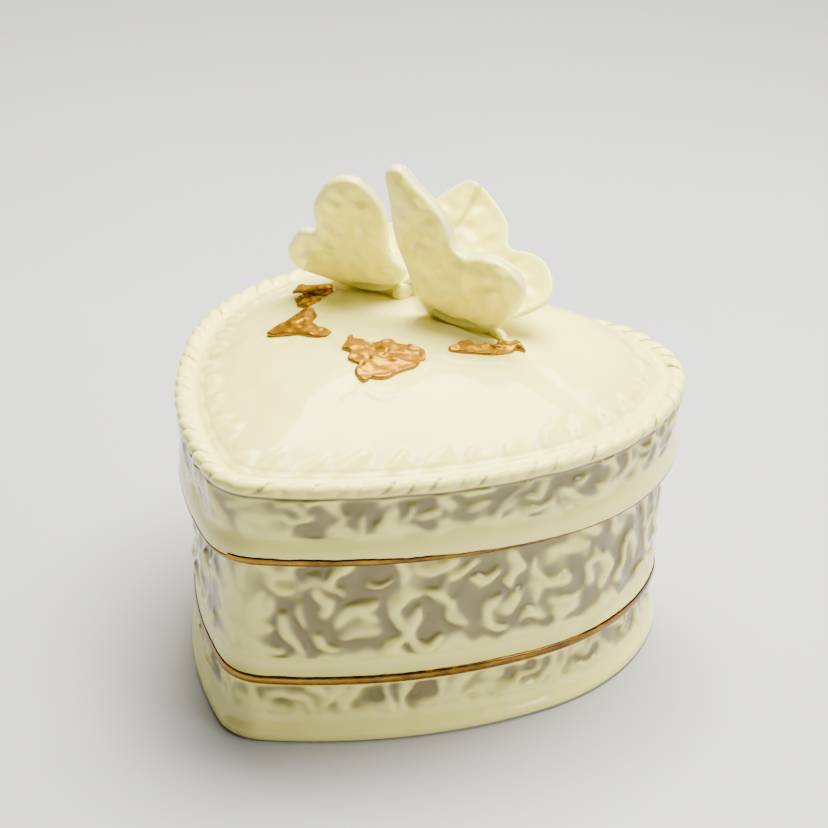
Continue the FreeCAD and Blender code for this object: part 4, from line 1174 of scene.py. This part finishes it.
# ------------------------------------------------------------------ build
parts = {"box_body": make_box(), "lid_shell": make_lid()}
parts["lid_gilt_line"], parts["box_gilt_band"] = make_gilding()
for node, spec in WINGS.items():
    parts[node] = make_wing(node + "_sheet", **spec)
parts["left_butterfly_body"] = make_body("left_butterfly_form", LEFT_BODY, seed=81, head=1.12)
parts["right_butterfly_body"] = make_body("right_butterfly_form", RIGHT_BODY, seed=82, head=0.85)
for node, spec in LEAVES.items():
    parts[node] = make_leaf(node + "_form", **spec)

materials = {
    # the ivory's pooled colour is near-black olive: glaze pooling with painted shade and dark
    # reflection
    "ivory_glaze": glaze("ivory_glaze_body", light=(0.98, 0.915, 0.265),
                         pooled_shade=(0.20, 0.166, 0.056), deep=(0.86, 0.755, 0.21),
                         subsurface=0.09),
    # the wing glaze is a yellower copy of the ivory, painted with the wings' shade and glow
    "wing_glaze": glaze("ivory_glaze_wing_shaded", light=(1.0, 0.86, 0.115), pooled_shade=(0.92, 0.69, 0.06),
                        deep=(0.96, 0.765, 0.09), subsurface=0.42, rim_highlight=(1.0, 0.93, 0.34)),
    # the gilt lines' near-black brown is painted dark reflection of the surroundings in the gold
    "gilt_line": gold("gilt_line_gold", bright=(0.38, 0.19, 0.013), brown=(0.040, 0.018, 0.004),
                      under=(0.70, 0.64, 0.42), wear=(0.90, 0.97), patch_scale=60.0, rough=0.16,
                      metallic=1.0, tint=(1.0, 1.0, 1.0), coat=0.25, leaf=False),
    "leaf_gold": gold("leaf_gilding", bright=(0.52, 0.265, 0.003), brown=(0.34, 0.145, 0.002),
                      under=(0.90, 0.72, 0.30), wear=(0.73, 0.80), patch_scale=190.0, rough=0.22,
                      metallic=0.60, tint=(1.0, 0.64, 0.05), coat=0.0, leaf=True),
}

# the CAD piece each part stands for, what it rides on and its material slot
for node, body, slot in [
    ("box_body", "box", "ivory_glaze"),
    ("box_gilt_band", "box", "gilt_line"),
    ("lid_shell", "lid", "ivory_glaze"),
    ("lid_gilt_line", "lid", "gilt_line"),
    ("left_butterfly_body", "lid", "wing_glaze"),
    ("left_wing_front", "lid", "wing_glaze"),
    ("left_wing_rear", "lid", "wing_glaze"),
    ("right_butterfly_body", "lid", "wing_glaze"),
    ("right_wing_front", "lid", "wing_glaze"),
    ("right_wing_rear", "lid", "wing_glaze"),
    ("leaf_left_upper", "lid", "leaf_gold"),
    ("leaf_left_middle", "lid", "leaf_gold"),
    ("leaf_left_long", "lid", "leaf_gold"),
    ("leaf_front", "lid", "leaf_gold"),
    ("leaf_right", "lid", "leaf_gold"),
]:
    parts[node].data.materials.append(materials[slot])
    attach(parts[node], body)
    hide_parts(node)

make_floor()
make_lights()
make_camera()
